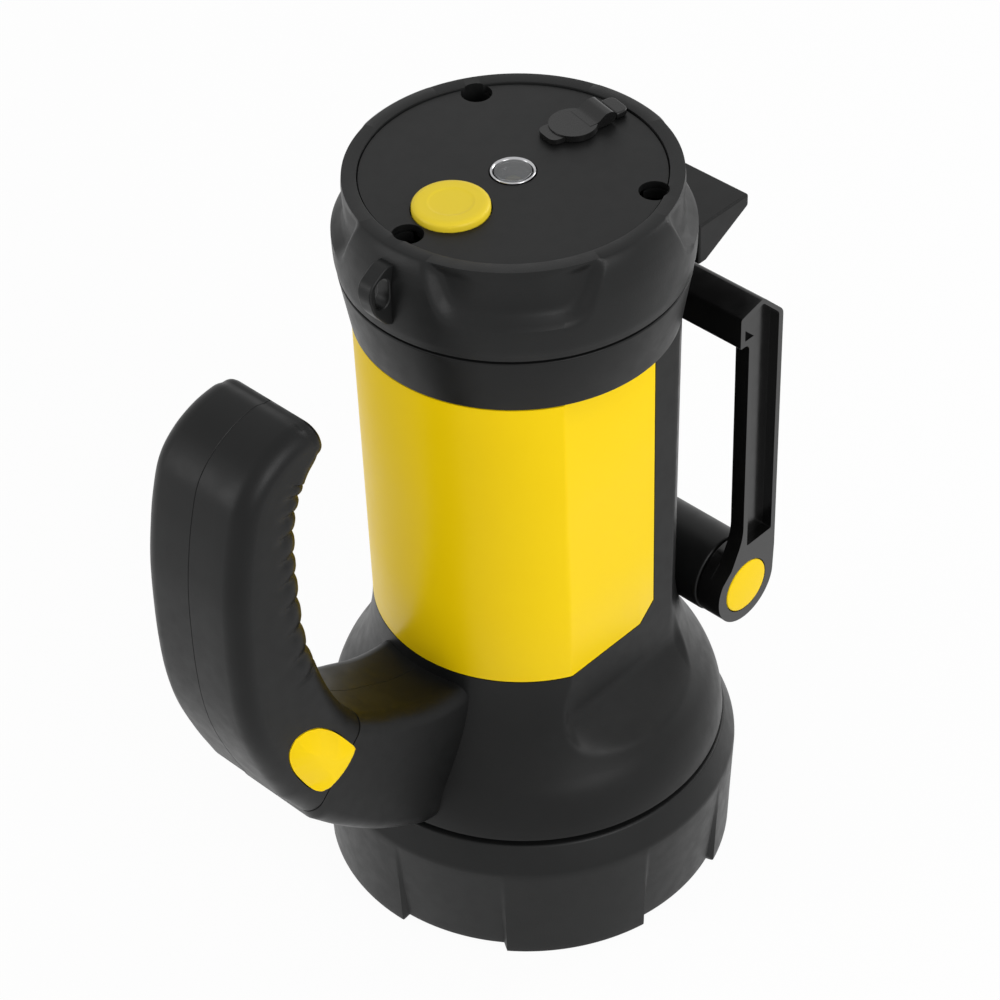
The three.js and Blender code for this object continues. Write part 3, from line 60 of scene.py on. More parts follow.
# Each corner is its place and how far it is cut back on both sides for its rounding
def roundedPath(corners, closed=False, steps=5):
    path = []
    for i, (a, b, cutBack) in enumerate(corners):
        here = Vector((a, b))
        if not cutBack or (not closed and i in (0, len(corners) - 1)):
            path.append(here)
            continue
        before = Vector(corners[i - 1][:2])
        after = Vector(corners[(i + 1) % len(corners)][:2])
        start = here + (before - here).normalized() * cutBack
        end = here + (after - here).normalized() * cutBack
        for k in range(steps + 1):
            t = k / steps
            path.append(start * (1 - t) ** 2 + here * 2 * t * (1 - t) + end * t ** 2)
    return path


def edged(places, edges):
    return [(a, b, cutBack) for (a, b), cutBack in zip(places, edges)]


def smoothPath(points, perSpan):
    points = [Vector(point) for point in points]
    points = [points[0] * 2 - points[1]] + points + [points[-1] * 2 - points[-2]]
    path = []
    for i in range(1, len(points) - 2):
        p0, p1, p2, p3 = points[i - 1:i + 3]
        for k in range(perSpan):
            t = k / perSpan
            path.append(0.5 * (2 * p1 + (p2 - p0) * t + (2 * p0 - 5 * p1 + 4 * p2 - p3) * t ** 2
                               + (3 * p1 - p0 - 3 * p2 + p3) * t ** 3))
    path.append(points[-2])
    return path


def circlePath(radius, centre=(0, 0), count=96):
    return [Vector((centre[0] + radius * math.cos(i * fullTurn / count),
                    centre[1] + radius * math.sin(i * fullTurn / count))) for i in range(count)]


def mix(a, b, t):
    return a + (b - a) * t


def ease(low, high, value):
    t = min(max((value - low) / (high - low), 0), 1)
    return t * t * (3 - 2 * t)


def softMin(a, b, softness):
    overlap = max(softness - abs(a - b), 0) / softness
    return min(a, b) - overlap * overlap * softness / 4


def valueAt(table, key):
    if key <= table[0][0]:
        return table[0][1]
    for (low, first), (high, second) in zip(table, table[1:]):
        if key <= high:
            return mix(first, second, (key - low) / (high - low))
    return table[-1][1]


# Solids

def spun(profile, steps=360, closed=False):
    bm = bmesh.new()
    verts = [bm.verts.new((radius, 0, height)) for radius, height in profile]
    edges = [bm.edges.new(pair) for pair in zip(verts, verts[1:])]
    if closed:
        edges.append(bm.edges.new((verts[-1], verts[0])))
    bmesh.ops.spin(bm, geom=verts + edges, cent=(0, 0, 0), axis=(0, 0, 1), angle=fullTurn,
                   steps=steps, use_merge=True)
    bmesh.ops.remove_doubles(bm, verts=bm.verts, dist=mergeDistance)
    bmesh.ops.recalc_face_normals(bm, faces=bm.faces)
    return bm


# An outline's depth runs along y or along z
basisY = Matrix(((1, 0, 0), (0, 0, 1), (0, 1, 0))).to_4x4()
basisZ = Matrix.Identity(4)


def pressed(outline, low, high, basis=basisZ):
    bm = bmesh.new()
    face = bm.faces.new([bm.verts.new((point[0], point[1], low)) for point in outline])
    made = bmesh.ops.extrude_face_region(bm, geom=[face])["geom"]
    raised = [item for item in made if isinstance(item, bmesh.types.BMVert)]
    bmesh.ops.translate(bm, vec=(0, 0, high - low), verts=raised)
    bmesh.ops.transform(bm, matrix=basis, verts=bm.verts)
    bmesh.ops.recalc_face_normals(bm, faces=bm.faces)
    return bm


def rodAlongY(x, z, low, high, radius, count=64):
    return pressed(circlePath(radius, (x, z), count), low, high, basisY)


def boxOf(x, y, z):
    return pressed([(x[0], y[0]), (x[1], y[0]), (x[1], y[1]), (x[0], y[1])], z[0], z[1])


# A closed body through rings of places, each with as many as the first
def lofted(rings):
    bm = bmesh.new()
    loop = [bm.verts.new(point) for point in rings[0]]
    edges = [bm.edges.new(pair) for pair in zip(loop, loop[1:] + loop[:1])]
    bm.faces.new(loop)
    for ring in rings[1:]:
        made = bmesh.ops.extrude_edge_only(bm, edges=edges)["geom"]
        fresh = {item for item in made if isinstance(item, bmesh.types.BMVert)}
        edges = [item for item in made
                 if isinstance(item, bmesh.types.BMEdge) and set(item.verts) <= fresh]
        loop = [next(edge.other_vert(vert) for edge in vert.link_edges
                     if edge.other_vert(vert) in fresh) for vert in loop]
        for vert, point in zip(loop, ring):
            vert.co = point
    bm.faces.new(loop)
    bmesh.ops.recalc_face_normals(bm, faces=bm.faces)
    return bm


def turnedBy(bm, angle, centre=(0, 0, 0)):
    bmesh.ops.rotate(bm, cent=centre, matrix=Matrix.Rotation(angle, 3, "Z"), verts=bm.verts)
    return bm


def shifted(bm, x, y, z=0):
    bmesh.ops.translate(bm, vec=(x, y, z), verts=bm.verts)
    return bm


def asObject(bm, name="tool"):
    mesh = bpy.data.meshes.new(name)
    bm.to_mesh(mesh)
    bm.free()
    piece = bpy.data.objects.new(name, mesh)
    bpy.context.scene.collection.objects.link(piece)
    return piece


def carved(bm, tools, operation="DIFFERENCE"):
    base = asObject(bm)
    parts = [asObject(tool) for tool in tools]
    for part in parts:
        step = base.modifiers.new("carve", "BOOLEAN")
        step.object = part
        step.operation = operation
        step.solver = "EXACT"
    depsgraph = bpy.context.evaluated_depsgraph_get()
    mesh = bpy.data.meshes.new_from_object(base.evaluated_get(depsgraph))
    result = bmesh.new()
    result.from_mesh(mesh)
    bpy.data.meshes.remove(mesh)
    for part in parts + [base]:
        data = part.data
        bpy.data.objects.remove(part)
        bpy.data.meshes.remove(data)
    return result


# Closed bodies that only touch, brought into one mesh
def gathered(bodies):
    bm = bmesh.new()
    for body in bodies:
        mesh = bpy.data.meshes.new("body")
        body.to_mesh(mesh)
        body.free()
        bm.from_mesh(mesh)
        bpy.data.meshes.remove(mesh)
    return bm


def joined(bm, parts):
    return carved(bm, parts, "UNION")


flatAngle = math.radians(0.2)  # faces that meet at less become one before their edges are rounded


def softened(bm, width, segments=3, angle=30, only=None):
    bmesh.ops.dissolve_limit(bm, angle_limit=flatAngle, verts=bm.verts, edges=bm.edges)
    edges = [edge for edge in bm.edges if len(edge.link_faces) == 2
             and edge.calc_face_angle(0) > math.radians(angle) and (only is None or only(edge))]
    bmesh.ops.bevel(bm, geom=edges, offset=width, segments=segments, profile=0.5,
                    affect="EDGES", material=-1, clamp_overlap=True)
    return bm


def finished(name, bm, body, nodes, slot, smoothAngle=35, weighted=False, look=None):
    bmesh.ops.remove_doubles(bm, verts=bm.verts, dist=mergeDistance)
    bmesh.ops.recalc_face_normals(bm, faces=bm.faces)
    if bm.calc_volume(signed=True) < 0:
        bmesh.ops.reverse_faces(bm, faces=bm.faces)
    limit = math.radians(smoothAngle)
    for face in bm.faces:
        face.smooth = True
    for edge in bm.edges:
        edge.smooth = len(edge.link_faces) == 2 and edge.calc_face_angle(0) < limit
    bmesh.ops.translate(bm, vec=(0, 0, -feetBelowLens), verts=bm.verts)
    bmesh.ops.scale(bm, vec=(millimetre,) * 3, verts=bm.verts)
    piece = asObject(bm, name)
    piece.data.materials.append(finishes[look or slotFinishes[slot]])
    if weighted:
        normals = piece.modifiers.new("normals", "WEIGHTED_NORMAL")
        normals.keep_sharp = True
    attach(piece, body)
    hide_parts(*nodes)


# Materials

noiseSpan = (0.3, 0.7)  # the part of the noise's range that is spread over a finish's values


def finish(name, look):
    material = bpy.data.materials.new(name)
    material.use_nodes = True
    tree = material.node_tree
    shader = tree.nodes["Principled BSDF"]
    place = tree.nodes.new("ShaderNodeTexCoord")

    def speckle(scale, low, high, detail=3):
        noise = tree.nodes.new("ShaderNodeTexNoise")
        noise.inputs["Scale"].default_value = scale
        noise.inputs["Detail"].default_value = detail
        span = tree.nodes.new("ShaderNodeMapRange")
        span.inputs["From Min"].default_value = noiseSpan[0]
        span.inputs["From Max"].default_value = noiseSpan[1]
        span.inputs["To Min"].default_value = low
        span.inputs["To Max"].default_value = high
        tree.links.new(place.outputs["Object"], noise.inputs["Vector"])
        tree.links.new(noise.outputs["Fac"], span.inputs["Value"])
        return span.outputs["Result"]

    tint = tree.nodes.new("ShaderNodeMix")
    tint.data_type = "RGBA"
    tint.inputs["A"].default_value = (*look["color"], 1)
    tint.inputs["B"].default_value = (*look.get("patch", look["color"]), 1)
    tree.links.new(speckle(look.get("patchScale", 60), 0, 1), tint.inputs["Factor"])
    tree.links.new(tint.outputs["Result"], shader.inputs["Base Color"])
    rough, spread = look["roughness"], look.get("spread", 0.03)
    tree.links.new(speckle(look.get("roughScale", 240), rough - spread, rough + spread),
                   shader.inputs["Roughness"])
    bump = tree.nodes.new("ShaderNodeBump")
    bump.inputs["Strength"].default_value = look.get("grain", 0.2)
    bump.inputs["Distance"].default_value = look.get("grainDepth", 0.00004)
    tree.links.new(speckle(look.get("grainScale", 2600), 0, 1, 2), bump.inputs["Height"])
    tree.links.new(bump.outputs["Normal"], shader.inputs["Normal"])
    shader.inputs["Metallic"].default_value = look.get("metallic", 0)
    shader.inputs["Transmission Weight"].default_value = look.get("transmission", 0)
    shader.inputs["IOR"].default_value = look.get("ior", 1.5)
    shader.inputs["Specular IOR Level"].default_value = look.get("specular", 0.5)
    return material


looks = {
    "headBlack": {"color": (0.0075, 0.0078, 0.0078), "patch": (0.0095, 0.0098, 0.0098),
                  "roughness": 0.42, "spread": 0.04, "specular": 0.2, "grain": 0.3,
                  "grainDepth": 0.00004, "grainScale": 2400},
    "bodyBlack": {"color": (0.0055, 0.0057, 0.0057), "patch": (0.007, 0.0072, 0.0072),
                  "roughness": 0.4, "spread": 0.04, "specular": 0.19, "grain": 0.22,
                  "grainDepth": 0.00003, "grainScale": 3000},
    "glossBlack": {"color": (0.003, 0.003, 0.003), "patch": (0.004, 0.004, 0.004),
                   "roughness": 0.2, "spread": 0.03, "specular": 0.5, "grain": 0.08,
                   "grainDepth": 0.00003, "grainScale": 500},
    "yellowPlastic": {"color": (0.93, 0.64, 0.001), "patch": (0.935, 0.65, 0.0015),
                      "roughness": 0.34, "spread": 0.02, "specular": 0.12, "grain": 0.06,
                      "grainDepth": 0.00002},
    "buttonYellow": {"color": (0.88, 0.66, 0.03), "patch": (0.89, 0.675, 0.035),
                     "roughness": 0.42, "spread": 0.03, "specular": 0.25, "grain": 0.12,
                     "grainScale": 3000},
    "blackRubber": {"color": (0.006, 0.006, 0.006), "patch": (0.008, 0.008, 0.008),
                    "roughness": 0.28, "spread": 0.05, "specular": 0.35, "grain": 0.2,
                    "grainScale": 1800},
    "clearLens": {"color": (0.98, 0.99, 1.0), "roughness": 0.02, "spread": 0.01,
                  "transmission": 1, "ior": 1.49, "grain": 0.02, "grainScale": 400},
    "greyLens": {"color": (0.3, 0.31, 0.32), "roughness": 0.12, "spread": 0.03,
                 "transmission": 0.8, "ior": 1.49, "grain": 0.1, "grainScale": 900},
    "mirror": {"color": (0.9, 0.9, 0.9), "roughness": 0.08, "spread": 0.03, "metallic": 1,
               "grain": 0.1, "grainScale": 500},
    "chromeRim": {"color": (0.5, 0.5, 0.51), "patch": (0.42, 0.42, 0.43), "roughness": 0.18,
                  "spread": 0.04, "metallic": 1, "grain": 0.2, "grainScale": 900},
    "ledYellow": {"color": (0.85, 0.72, 0.1), "patch": (0.9, 0.78, 0.16), "roughness": 0.35},
    "whiteBoard": {"color": (0.75, 0.75, 0.72), "patch": (0.7, 0.7, 0.67), "roughness": 0.35},
    "greenBoard": {"color": (0.01, 0.1, 0.03), "patch": (0.015, 0.13, 0.04), "roughness": 0.3},
    "aluminium": {"color": (0.6, 0.61, 0.63), "patch": (0.5, 0.51, 0.53), "roughness": 0.35,
                  "metallic": 1, "grain": 0.4, "grainScale": 900},
    "steel": {"color": (0.45, 0.46, 0.47), "patch": (0.36, 0.36, 0.37), "roughness": 0.3,
              "metallic": 1, "grain": 0.3, "grainScale": 1400},
    "innerBlack": {"color": (0.02, 0.02, 0.02), "patch": (0.028, 0.028, 0.028),
                   "roughness": 0.5},
    "cellWrap": {"color": (0.02, 0.12, 0.35), "patch": (0.025, 0.14, 0.4), "roughness": 0.3},
    "redWire": {"color": (0.5, 0.015, 0.01), "patch": (0.55, 0.02, 0.015), "roughness": 0.4},
    "blackWire": {"color": (0.01, 0.01, 0.01), "patch": (0.016, 0.016, 0.016), "roughness": 0.4},
}
finishes = {name: finish(name, look) for name, look in looks.items()}
slotFinishes = {
    "head_black": "headBlack", "body_black": "bodyBlack", "gloss_black": "glossBlack",
    "yellow_plastic": "yellowPlastic", "button_yellow": "buttonYellow",
    "black_rubber": "blackRubber", "clear_lens": "clearLens", "mirror": "mirror",
    "led_yellow": "ledYellow", "white_board": "whiteBoard", "green_board": "greenBoard",
    "aluminium": "aluminium", "steel": "steel", "inner_black": "innerBlack",
    "cell": "cellWrap", "red_wire": "redWire", "black_wire": "blackWire",
}
# the solids that show as they are get their slot's finish
for part in frame["record"]["subparts"]:
    node = frame["nodes"][part["node"]]
    if not node.material_slots:
        node.data.materials.append(None)
    for place in node.material_slots:
        place.material = finishes[slotFinishes[part["material_slot"]]]
print("materials made:", len(finishes))


# Camera and light

camera = {
    "location": (-0.49833, -0.47928, 0.71665),
    "right": (0.684017, -0.729056, -0.02443),
    "up": (0.490021, 0.434425, 0.755747),
    "back": (-0.54037, -0.528915, 0.654408),
    "lens": 117.904, "sensor": 36, "near": 0.05, "far": 20,
}


def makeCamera():
    data = bpy.data.cameras.new("camera")
    data.sensor_width = camera["sensor"]
    data.lens = camera["lens"]
    data.clip_start = camera["near"]
    data.clip_end = camera["far"]
    eye = bpy.data.objects.new("camera", data)
    bpy.context.scene.collection.objects.link(eye)
    axes = Matrix((camera["right"], camera["up"], camera["back"])).transposed().to_4x4()
    eye.matrix_world = Matrix.Translation(camera["location"]) @ axes
    bpy.context.scene.camera = eye


# Places and sizes of the light are in metres
lampsAim = (0, 0, 0.12)
lamps = {
    "keyFront": {"place": (-0.15, -1.25, 0.8), "size": (0.7, 0.7), "power": 9.0},
    "sideRight": {"place": (1.2, -0.3, 0.6), "size": (0.4, 0.8), "power": 4.5},
    "sideLeft": {"place": (-1.15, 0.65, 0.6), "size": (0.4, 0.8), "power": 4.0},
}
surround = {"ambient": 0.5, "seen": 1.0}  # its light on the part, and what the camera sees


def makeLamps():
    for name, lamp in lamps.items():
        data = bpy.data.lights.new(name, "AREA")
        data.shape = "RECTANGLE"
        data.size, data.size_y = lamp["size"]
        data.energy = lamp["power"]
        light = bpy.data.objects.new(name, data)
        light.location = lamp["place"]
        aim = Vector(lampsAim) - Vector(lamp["place"])
        light.rotation_euler = aim.to_track_quat("-Z", "Y").to_euler()
        bpy.context.scene.collection.objects.link(light)


def raySwitch(tree, *outputs):
    path = tree.nodes.new("ShaderNodeLightPath")
    seen = path.outputs[outputs[0]]
    for name in outputs[1:]:
        most = tree.nodes.new("ShaderNodeMath")
        most.operation = "MAXIMUM"
        tree.links.new(seen, most.inputs[0])
        tree.links.new(path.outputs[name], most.inputs[1])
        seen = most.outputs[0]
    return seen


def makeSurround():
    world = bpy.data.worlds.new("surround")
    bpy.context.scene.world = world
    world.use_nodes = True
    tree = world.node_tree
    tree.nodes.clear()
    plain = tree.nodes.new("ShaderNodeBackground")
    plain.inputs["Strength"].default_value = surround["ambient"]
    plain.inputs["Color"].default_value = (1, 1, 1, 1)
    seen = tree.nodes.new("ShaderNodeBackground")
    seen.inputs["Strength"].default_value = surround["seen"]
    seen.inputs["Color"].default_value = (1, 1, 1, 1)
    blend = tree.nodes.new("ShaderNodeMixShader")
    out = tree.nodes.new("ShaderNodeOutputWorld")
    switch = raySwitch(tree, "Is Camera Ray", "Is Glossy Ray", "Is Transmission Ray")
    tree.links.new(switch, blend.inputs[0])
    tree.links.new(plain.outputs[0], blend.inputs[1])
    tree.links.new(seen.outputs[0], blend.inputs[2])
    tree.links.new(blend.outputs[0], out.inputs["Surface"])


# Seen or mirrored, the floor is nearly all glow, and the rest of it keeps the shadow
floor = {"reach": 6.0, "shade": 0.9, "roughness": 0.9, "glow": 0.95}


def makeFloor():
    bm = bmesh.new()
    bmesh.ops.create_grid(bm, x_segments=1, y_segments=1, size=floor["reach"])
    bmesh.ops.translate(bm, vec=(0, 0, -feetBelowLens * millimetre), verts=bm.verts)
    ground = asObject(bm, "floor")
    material = bpy.data.materials.new("floorWhite")
    material.use_nodes = True
    tree = material.node_tree
    shader = tree.nodes["Principled BSDF"]
    shader.inputs["Base Color"].default_value = (floor["shade"],) * 3 + (1,)
    shader.inputs["Roughness"].default_value = floor["roughness"]
    glow = tree.nodes.new("ShaderNodeEmission")
    glow.inputs["Strength"].default_value = 1.0
    blend = tree.nodes.new("ShaderNodeMixShader")
    share = tree.nodes.new("ShaderNodeMath")
    share.operation = "MULTIPLY"
    share.inputs[1].default_value = floor["glow"]
    switch = raySwitch(tree, "Is Camera Ray", "Is Glossy Ray", "Is Transmission Ray")
    tree.links.new(switch, share.inputs[0])
    tree.links.new(share.outputs[0], blend.inputs[0])
    tree.links.new(shader.outputs[0], blend.inputs[1])
    tree.links.new(glow.outputs[0], blend.inputs[2])
    tree.links.new(blend.outputs[0], tree.nodes["Material Output"].inputs["Surface"])
    ground.data.materials.append(material)


bpy.context.scene.view_settings.view_transform = "Standard"
makeCamera()
makeLamps()
makeSurround()
makeFloor()
print("camera, lamps and floor made")


# Head: bezel, lens and reflector

bezel = {
    "lip": 51.5, "foot": 59.8, "shoulder": 61.3, "shoulderHeight": 34, "top": 57.9,
    "topHeight": 42.6, "thread": 55.5, "pocket": 54.8, "lipBack": 3.6, "skirt": 10.0,
    "padCount": 5, "padDepth": 1.5, "padRise": 1.8, "padTop": 33, "padWidth": 41, "padTurn": -123.5,
    "padSide": 0.55, "padBlend": 3, "insideHeight": 2.4, "wallSteps": 12,
    # roundings of the lip, the foot, the shoulder, the top and the thread's end
    "edges": (0.5, 0.9, 1.1, 0.7, 0.4),
}
slack = 0.1  # how close a vertex counts as lying on a radius or a height


def bezelRing():
    steps = bezel["wallSteps"]
    wall = [(mix(bezel["foot"] - bezel["padDepth"], bezel["shoulder"], t / steps),
             mix(bezel["padRise"], bezel["shoulderHeight"], t / steps), 0) for t in range(1, steps)]
    lipEdge, footEdge, shoulderEdge, topEdge, threadEdge = bezel["edges"]
    profile = roundedPath([
        (bezel["lip"], bezel["lipBack"], 0),
        (bezel["lip"], bezel["padRise"], lipEdge),
        (bezel["foot"] - bezel["padDepth"], bezel["padRise"], footEdge),
        *wall,
        (bezel["shoulder"], bezel["shoulderHeight"], shoulderEdge),
        (bezel["top"], bezel["topHeight"], topEdge),
        (bezel["thread"], bezel["topHeight"], threadEdge),
        (bezel["thread"], bezel["skirt"], 0),
        (bezel["pocket"], bezel["skirt"], 0),
        (bezel["pocket"], bezel["lipBack"], 0),
    ], closed=True)
    bm = spun(profile, 720, closed=True)
    step = fullTurn / bezel["padCount"]
    half = math.radians(bezel["padWidth"] / 2)
    side = math.radians(bezel["padSide"])
    lean = (bezel["shoulder"] - bezel["foot"]) / bezel["shoulderHeight"]
    for vert in bm.verts:
        x, y, z = vert.co
        radius = math.hypot(x, y)
        if radius < bezel["lip"] - slack or z > bezel["padTop"]:
            continue
        if radius < bezel["thread"] + slack and z > bezel["insideHeight"]:
            continue
        turn = (math.atan2(y, x) - math.radians(bezel["padTurn"]) + step / 2) % step - step / 2
        pad = 1 - ease(half - side, half + side, abs(turn))
        wallRadius = mix(bezel["foot"] - bezel["padDepth"], bezel["shoulder"],
                         (z - bezel["padRise"]) / (bezel["shoulderHeight"] - bezel["padRise"]))
        onWall = ease(-bezel["padBlend"], 0, radius - wallRadius)
        lowered = z - bezel["padRise"] * ease(bezel["padTop"] / 2, bezel["padRise"], z) * pad
        swell = (bezel["foot"] + lean * z - wallRadius) * pad * onWall
        grown = (radius + max(swell, 0)) / radius
        vert.co = (x * grown, y * grown, lowered)
    finished("bezel", bm, "torch", ["bezel_ring"], "head_black", 32)


lens = {"face": 51.1, "radius": 54.4, "front": 3.6, "rim": 3.9, "back": 6.4, "edge": 0.4,
        "faceEdge": 0.15}


def frontLens():
    profile = roundedPath([
        (0, lens["front"], 0), (lens["face"], lens["front"], lens["faceEdge"]),
        (lens["face"], lens["rim"], 0),
        (lens["radius"], lens["rim"], lens["edge"]), (lens["radius"], lens["back"], lens["edge"]),
        (0, lens["back"], 0),
    ], steps=3)
    bm = spun(profile, 180)
    finished("frontLens", bm, "torch", ["front_lens"], "clear_lens")


bowl = {"mouth": 50, "neck": 10, "focus": 12, "wall": 1.5, "flange": 8.5, "flangeTop": 10.0,
        "rim": 54.4, "steps": 24}


def reflectorBowl():
    apex = bowl["flange"] + bowl["mouth"] ** 2 / (4 * bowl["focus"])
    inside = []
    for i in range(bowl["steps"] + 1):
        radius = mix(bowl["mouth"], bowl["neck"], i / bowl["steps"])
        inside.append((radius, apex - radius ** 2 / (4 * bowl["focus"])))
    outside = [(radius + bowl["wall"], height) for radius, height in reversed(inside)]
    outside[-1] = (bowl["mouth"] + bowl["wall"], bowl["flangeTop"])
    profile = inside + outside + [(bowl["rim"], bowl["flangeTop"]), (bowl["rim"], bowl["flange"])]
    bm = spun(profile, 180, closed=True)
    finished("reflectorBowl", bm, "torch", ["reflector"], "mirror")


# Body: flared shell with two flats, the sleeve on it, the elbow's arm and the pivot boss

shell = {
    "skirt": 55.2, "skirtBottom": 10.3, "flareBottom": 44.1, "flare": 57.5, "flareEdge": 0.5,
    "flareLift": 0.3, "lower": 43.0, "upper": 44.0, "flareTop": 92.6, "top": 190.0, "end": 189.6,
    "coreHalf": 20, "sunkInset": 0.02, "flatSoftness": 0.25, "flatFade": (72, 92),
    "backFlat": 41.6, "backFlatLow": 95, "backFlatHigh": 99, "backFlatRunout": 4,
    "backFlatSoftness": 0.4,
    # heights of the tube's rings, close together where the back flat begins
    "tube": (93.5, 94.5, 95.5, 96.5, 97.5, 98.5, 99.5, 120, 150),
    # the flare, from its foot to the tube: share of its swell and share of its height
    "flareShares": [(1, 0), (0.97, 0.09), (0.9, 0.18), (0.77, 0.28), (0.59, 0.375), (0.41, 0.48),
                    (0.255, 0.59), (0.145, 0.69), (0.076, 0.79), (0.028, 0.895), (0, 1)],
    # the scoop below each flat: height, and how far out its surface stands
    "scoop": [(62.8, 64.0), (63.8, 57.0), (64.6, 53.0), (65.8, 49.6), (67.2, 46.8), (68.6, 44.5),
              (70.4, 42.0), (72.4, 39.9), (74.2, 38.6), (75.8, 37.9), (78.0, 37.6)],
    # the hollow that the reflector stands in: radius and height, from the skirt up
    "hollow": [(52.4, 10.3), (52.4, 46.0), (34.0, 64.0), (34.0, 186.0), (0, 186.0)],
    "scoopHalfWidth": 22.0, "scoopSide": 0.3, "scoopSoftness": 4.0,
}
sleeve = {"bottom": 92.6, "edge": 13.0, "cornerWidth": 5.7, "cornerHeight": 5.4, "thickness": 1.5,
          "gap": 0.3, "top": 189.7, "bevel": 0.25, "rings": (120, 150),
          "rimAngle": 1.2}


def shellRadius(height):
    return mix(shell["lower"], shell["upper"],
               (height - shell["flareTop"]) / (shell["top"] - shell["flareTop"]))


def flattened(bm):
    for vert in bm.verts:
        x, y, z = vert.co
        limit = valueAt(shell["scoop"], z)
        limit += shell["scoopSide"] * max(abs(x) - shell["scoopHalfWidth"], 0) ** 2
        softness = mix(shell["scoopSoftness"], shell["flatSoftness"], ease(*shell["flatFade"], z))
        if abs(y) > shell["coreHalf"]:
            y = math.copysign(softMin(abs(y), limit, softness), y)
        if x > shell["coreHalf"] and z > shell["backFlatLow"]:
            runout = 1 - ease(shell["backFlatLow"], shell["backFlatHigh"], z)
            back = shell["backFlat"] + shell["backFlatRunout"] * runout
            x = softMin(x, back, shell["backFlatSoftness"])
        vert.co = (x, y, z)
    return bm


# The sleeve covers what lies left of its edge and above its bottom, with one corner cut off
def inSleeveZone(point, clearance):
    edge = sleeve["edge"] + clearance
    bottom = sleeve["bottom"] - clearance
    inward, upward = edge - point[0], point[2] - bottom
    corner = inward / sleeve["cornerWidth"] + upward / sleeve["cornerHeight"]
    return inward > 0 and upward > 0 and corner > 1


def sleeveCuts(clearance):
    edge = sleeve["edge"] + clearance
    bottom = sleeve["bottom"] - clearance
    return [
        ((edge, 0, 0), (1, 0, 0)),
        ((0, 0, bottom), (0, 0, -1)),
        ((edge, 0, bottom + sleeve["cornerHeight"]),
         (1 / sleeve["cornerWidth"], 0, -1 / sleeve["cornerHeight"])),
    ]


screwWell = {"radius": 3.3, "armReach": 30, "tubeReach": 60, "tubeSeat": 17.5}


def screwPlace(name):
    low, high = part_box(name)
    return [(low[i] + high[i]) / 2 / millimetre for i in (0, 2)]


def wellsOf(names, seat, reach):
    return [rodAlongY(x, z + feetBelowLens, seat, reach, screwWell["radius"])
            for x, z in map(screwPlace, names)]


def bodyShell():
    flare = smoothPath([(mix(shell["lower"], shell["flare"], swell),
                         mix(shell["flareBottom"], shell["flareTop"], rise))
                        for swell, rise in shell["flareShares"]], 6)
    tube = [(shellRadius(height), height) for height in shell["tube"]]
    profile = [*reversed(shell["hollow"]), (shell["skirt"], shell["skirtBottom"]),
               (shell["skirt"], shell["flareBottom"]),
               (shell["flare"] - shell["flareEdge"], shell["flareBottom"]),
               (shell["flare"] - slack, shell["flareBottom"] + shell["flareLift"])]
    profile += [tuple(point) for point in flare[1:]] + tube
    profile += [(shell["upper"], shell["end"]), (0, shell["end"])]
    bm = flattened(spun(profile, 540))
    for place, normal in sleeveCuts(sleeve["gap"]):
        bmesh.ops.bisect_plane(bm, geom=bm.verts[:] + bm.edges[:] + bm.faces[:], dist=1e-5,
                               plane_co=place, plane_no=normal)
    # the faces under the sleeve are sunk, but not the ends nor the hollow inside
    sunk = [face for face in bm.faces
            if inSleeveZone(face.calc_center_median(), sleeve["gap"]) and abs(face.normal.z) < 0.9
            and face.calc_center_median().xy.length > shell["hollow"][2][0] + 1]
    bmesh.ops.inset_region(bm, faces=sunk, thickness=shell["sunkInset"],
                           depth=-sleeve["thickness"] - sleeve["gap"], use_even_offset=True)
    bm = carved(bm, wellsOf(("housing_screw_3", "housing_screw_4"), screwWell["tubeSeat"],
                            screwWell["tubeReach"]))
    finished("bodyShell", bm, "torch", ["housing_left", "housing_right"], "body_black", 30)


def bodySleeve():
    bm = bmesh.new()
    profile = [(shellRadius(height), height)
               for height in (sleeve["bottom"], *sleeve["rings"], sleeve["top"])]
    verts = [bm.verts.new((radius, 0, height)) for radius, height in profile]
    edges = [bm.edges.new(pair) for pair in zip(verts, verts[1:])]
    bmesh.ops.spin(bm, geom=verts + edges, cent=(0, 0, 0), axis=(0, 0, 1), angle=fullTurn,
                   steps=720, use_merge=True)
    bmesh.ops.remove_doubles(bm, verts=bm.verts, dist=mergeDistance)
    bmesh.ops.recalc_face_normals(bm, faces=bm.faces)
    flattened(bm)
    for place, normal in sleeveCuts(0):
        bmesh.ops.bisect_plane(bm, geom=bm.verts[:] + bm.edges[:] + bm.faces[:], dist=1e-5,
                               plane_co=place, plane_no=normal, clear_outer=True)
    if sum(face.normal.dot(face.calc_center_median().xy.to_3d()) for face in bm.faces) < 0:
        bmesh.ops.reverse_faces(bm, faces=bm.faces)
    bmesh.ops.solidify(bm, geom=bm.faces[:], thickness=sleeve["thickness"])
    rim = [edge for edge in bm.edges
           if len(edge.link_faces) == 2 and edge.calc_face_angle(0) > sleeve["rimAngle"]]
    bmesh.ops.bevel(bm, geom=rim, offset=sleeve["bevel"], segments=2, profile=0.5, affect="EDGES",
                    material=-1, clamp_overlap=True)
    finished("bodySleeve", bm, "torch", ["body_sleeve"], "yellow_plastic", 40)


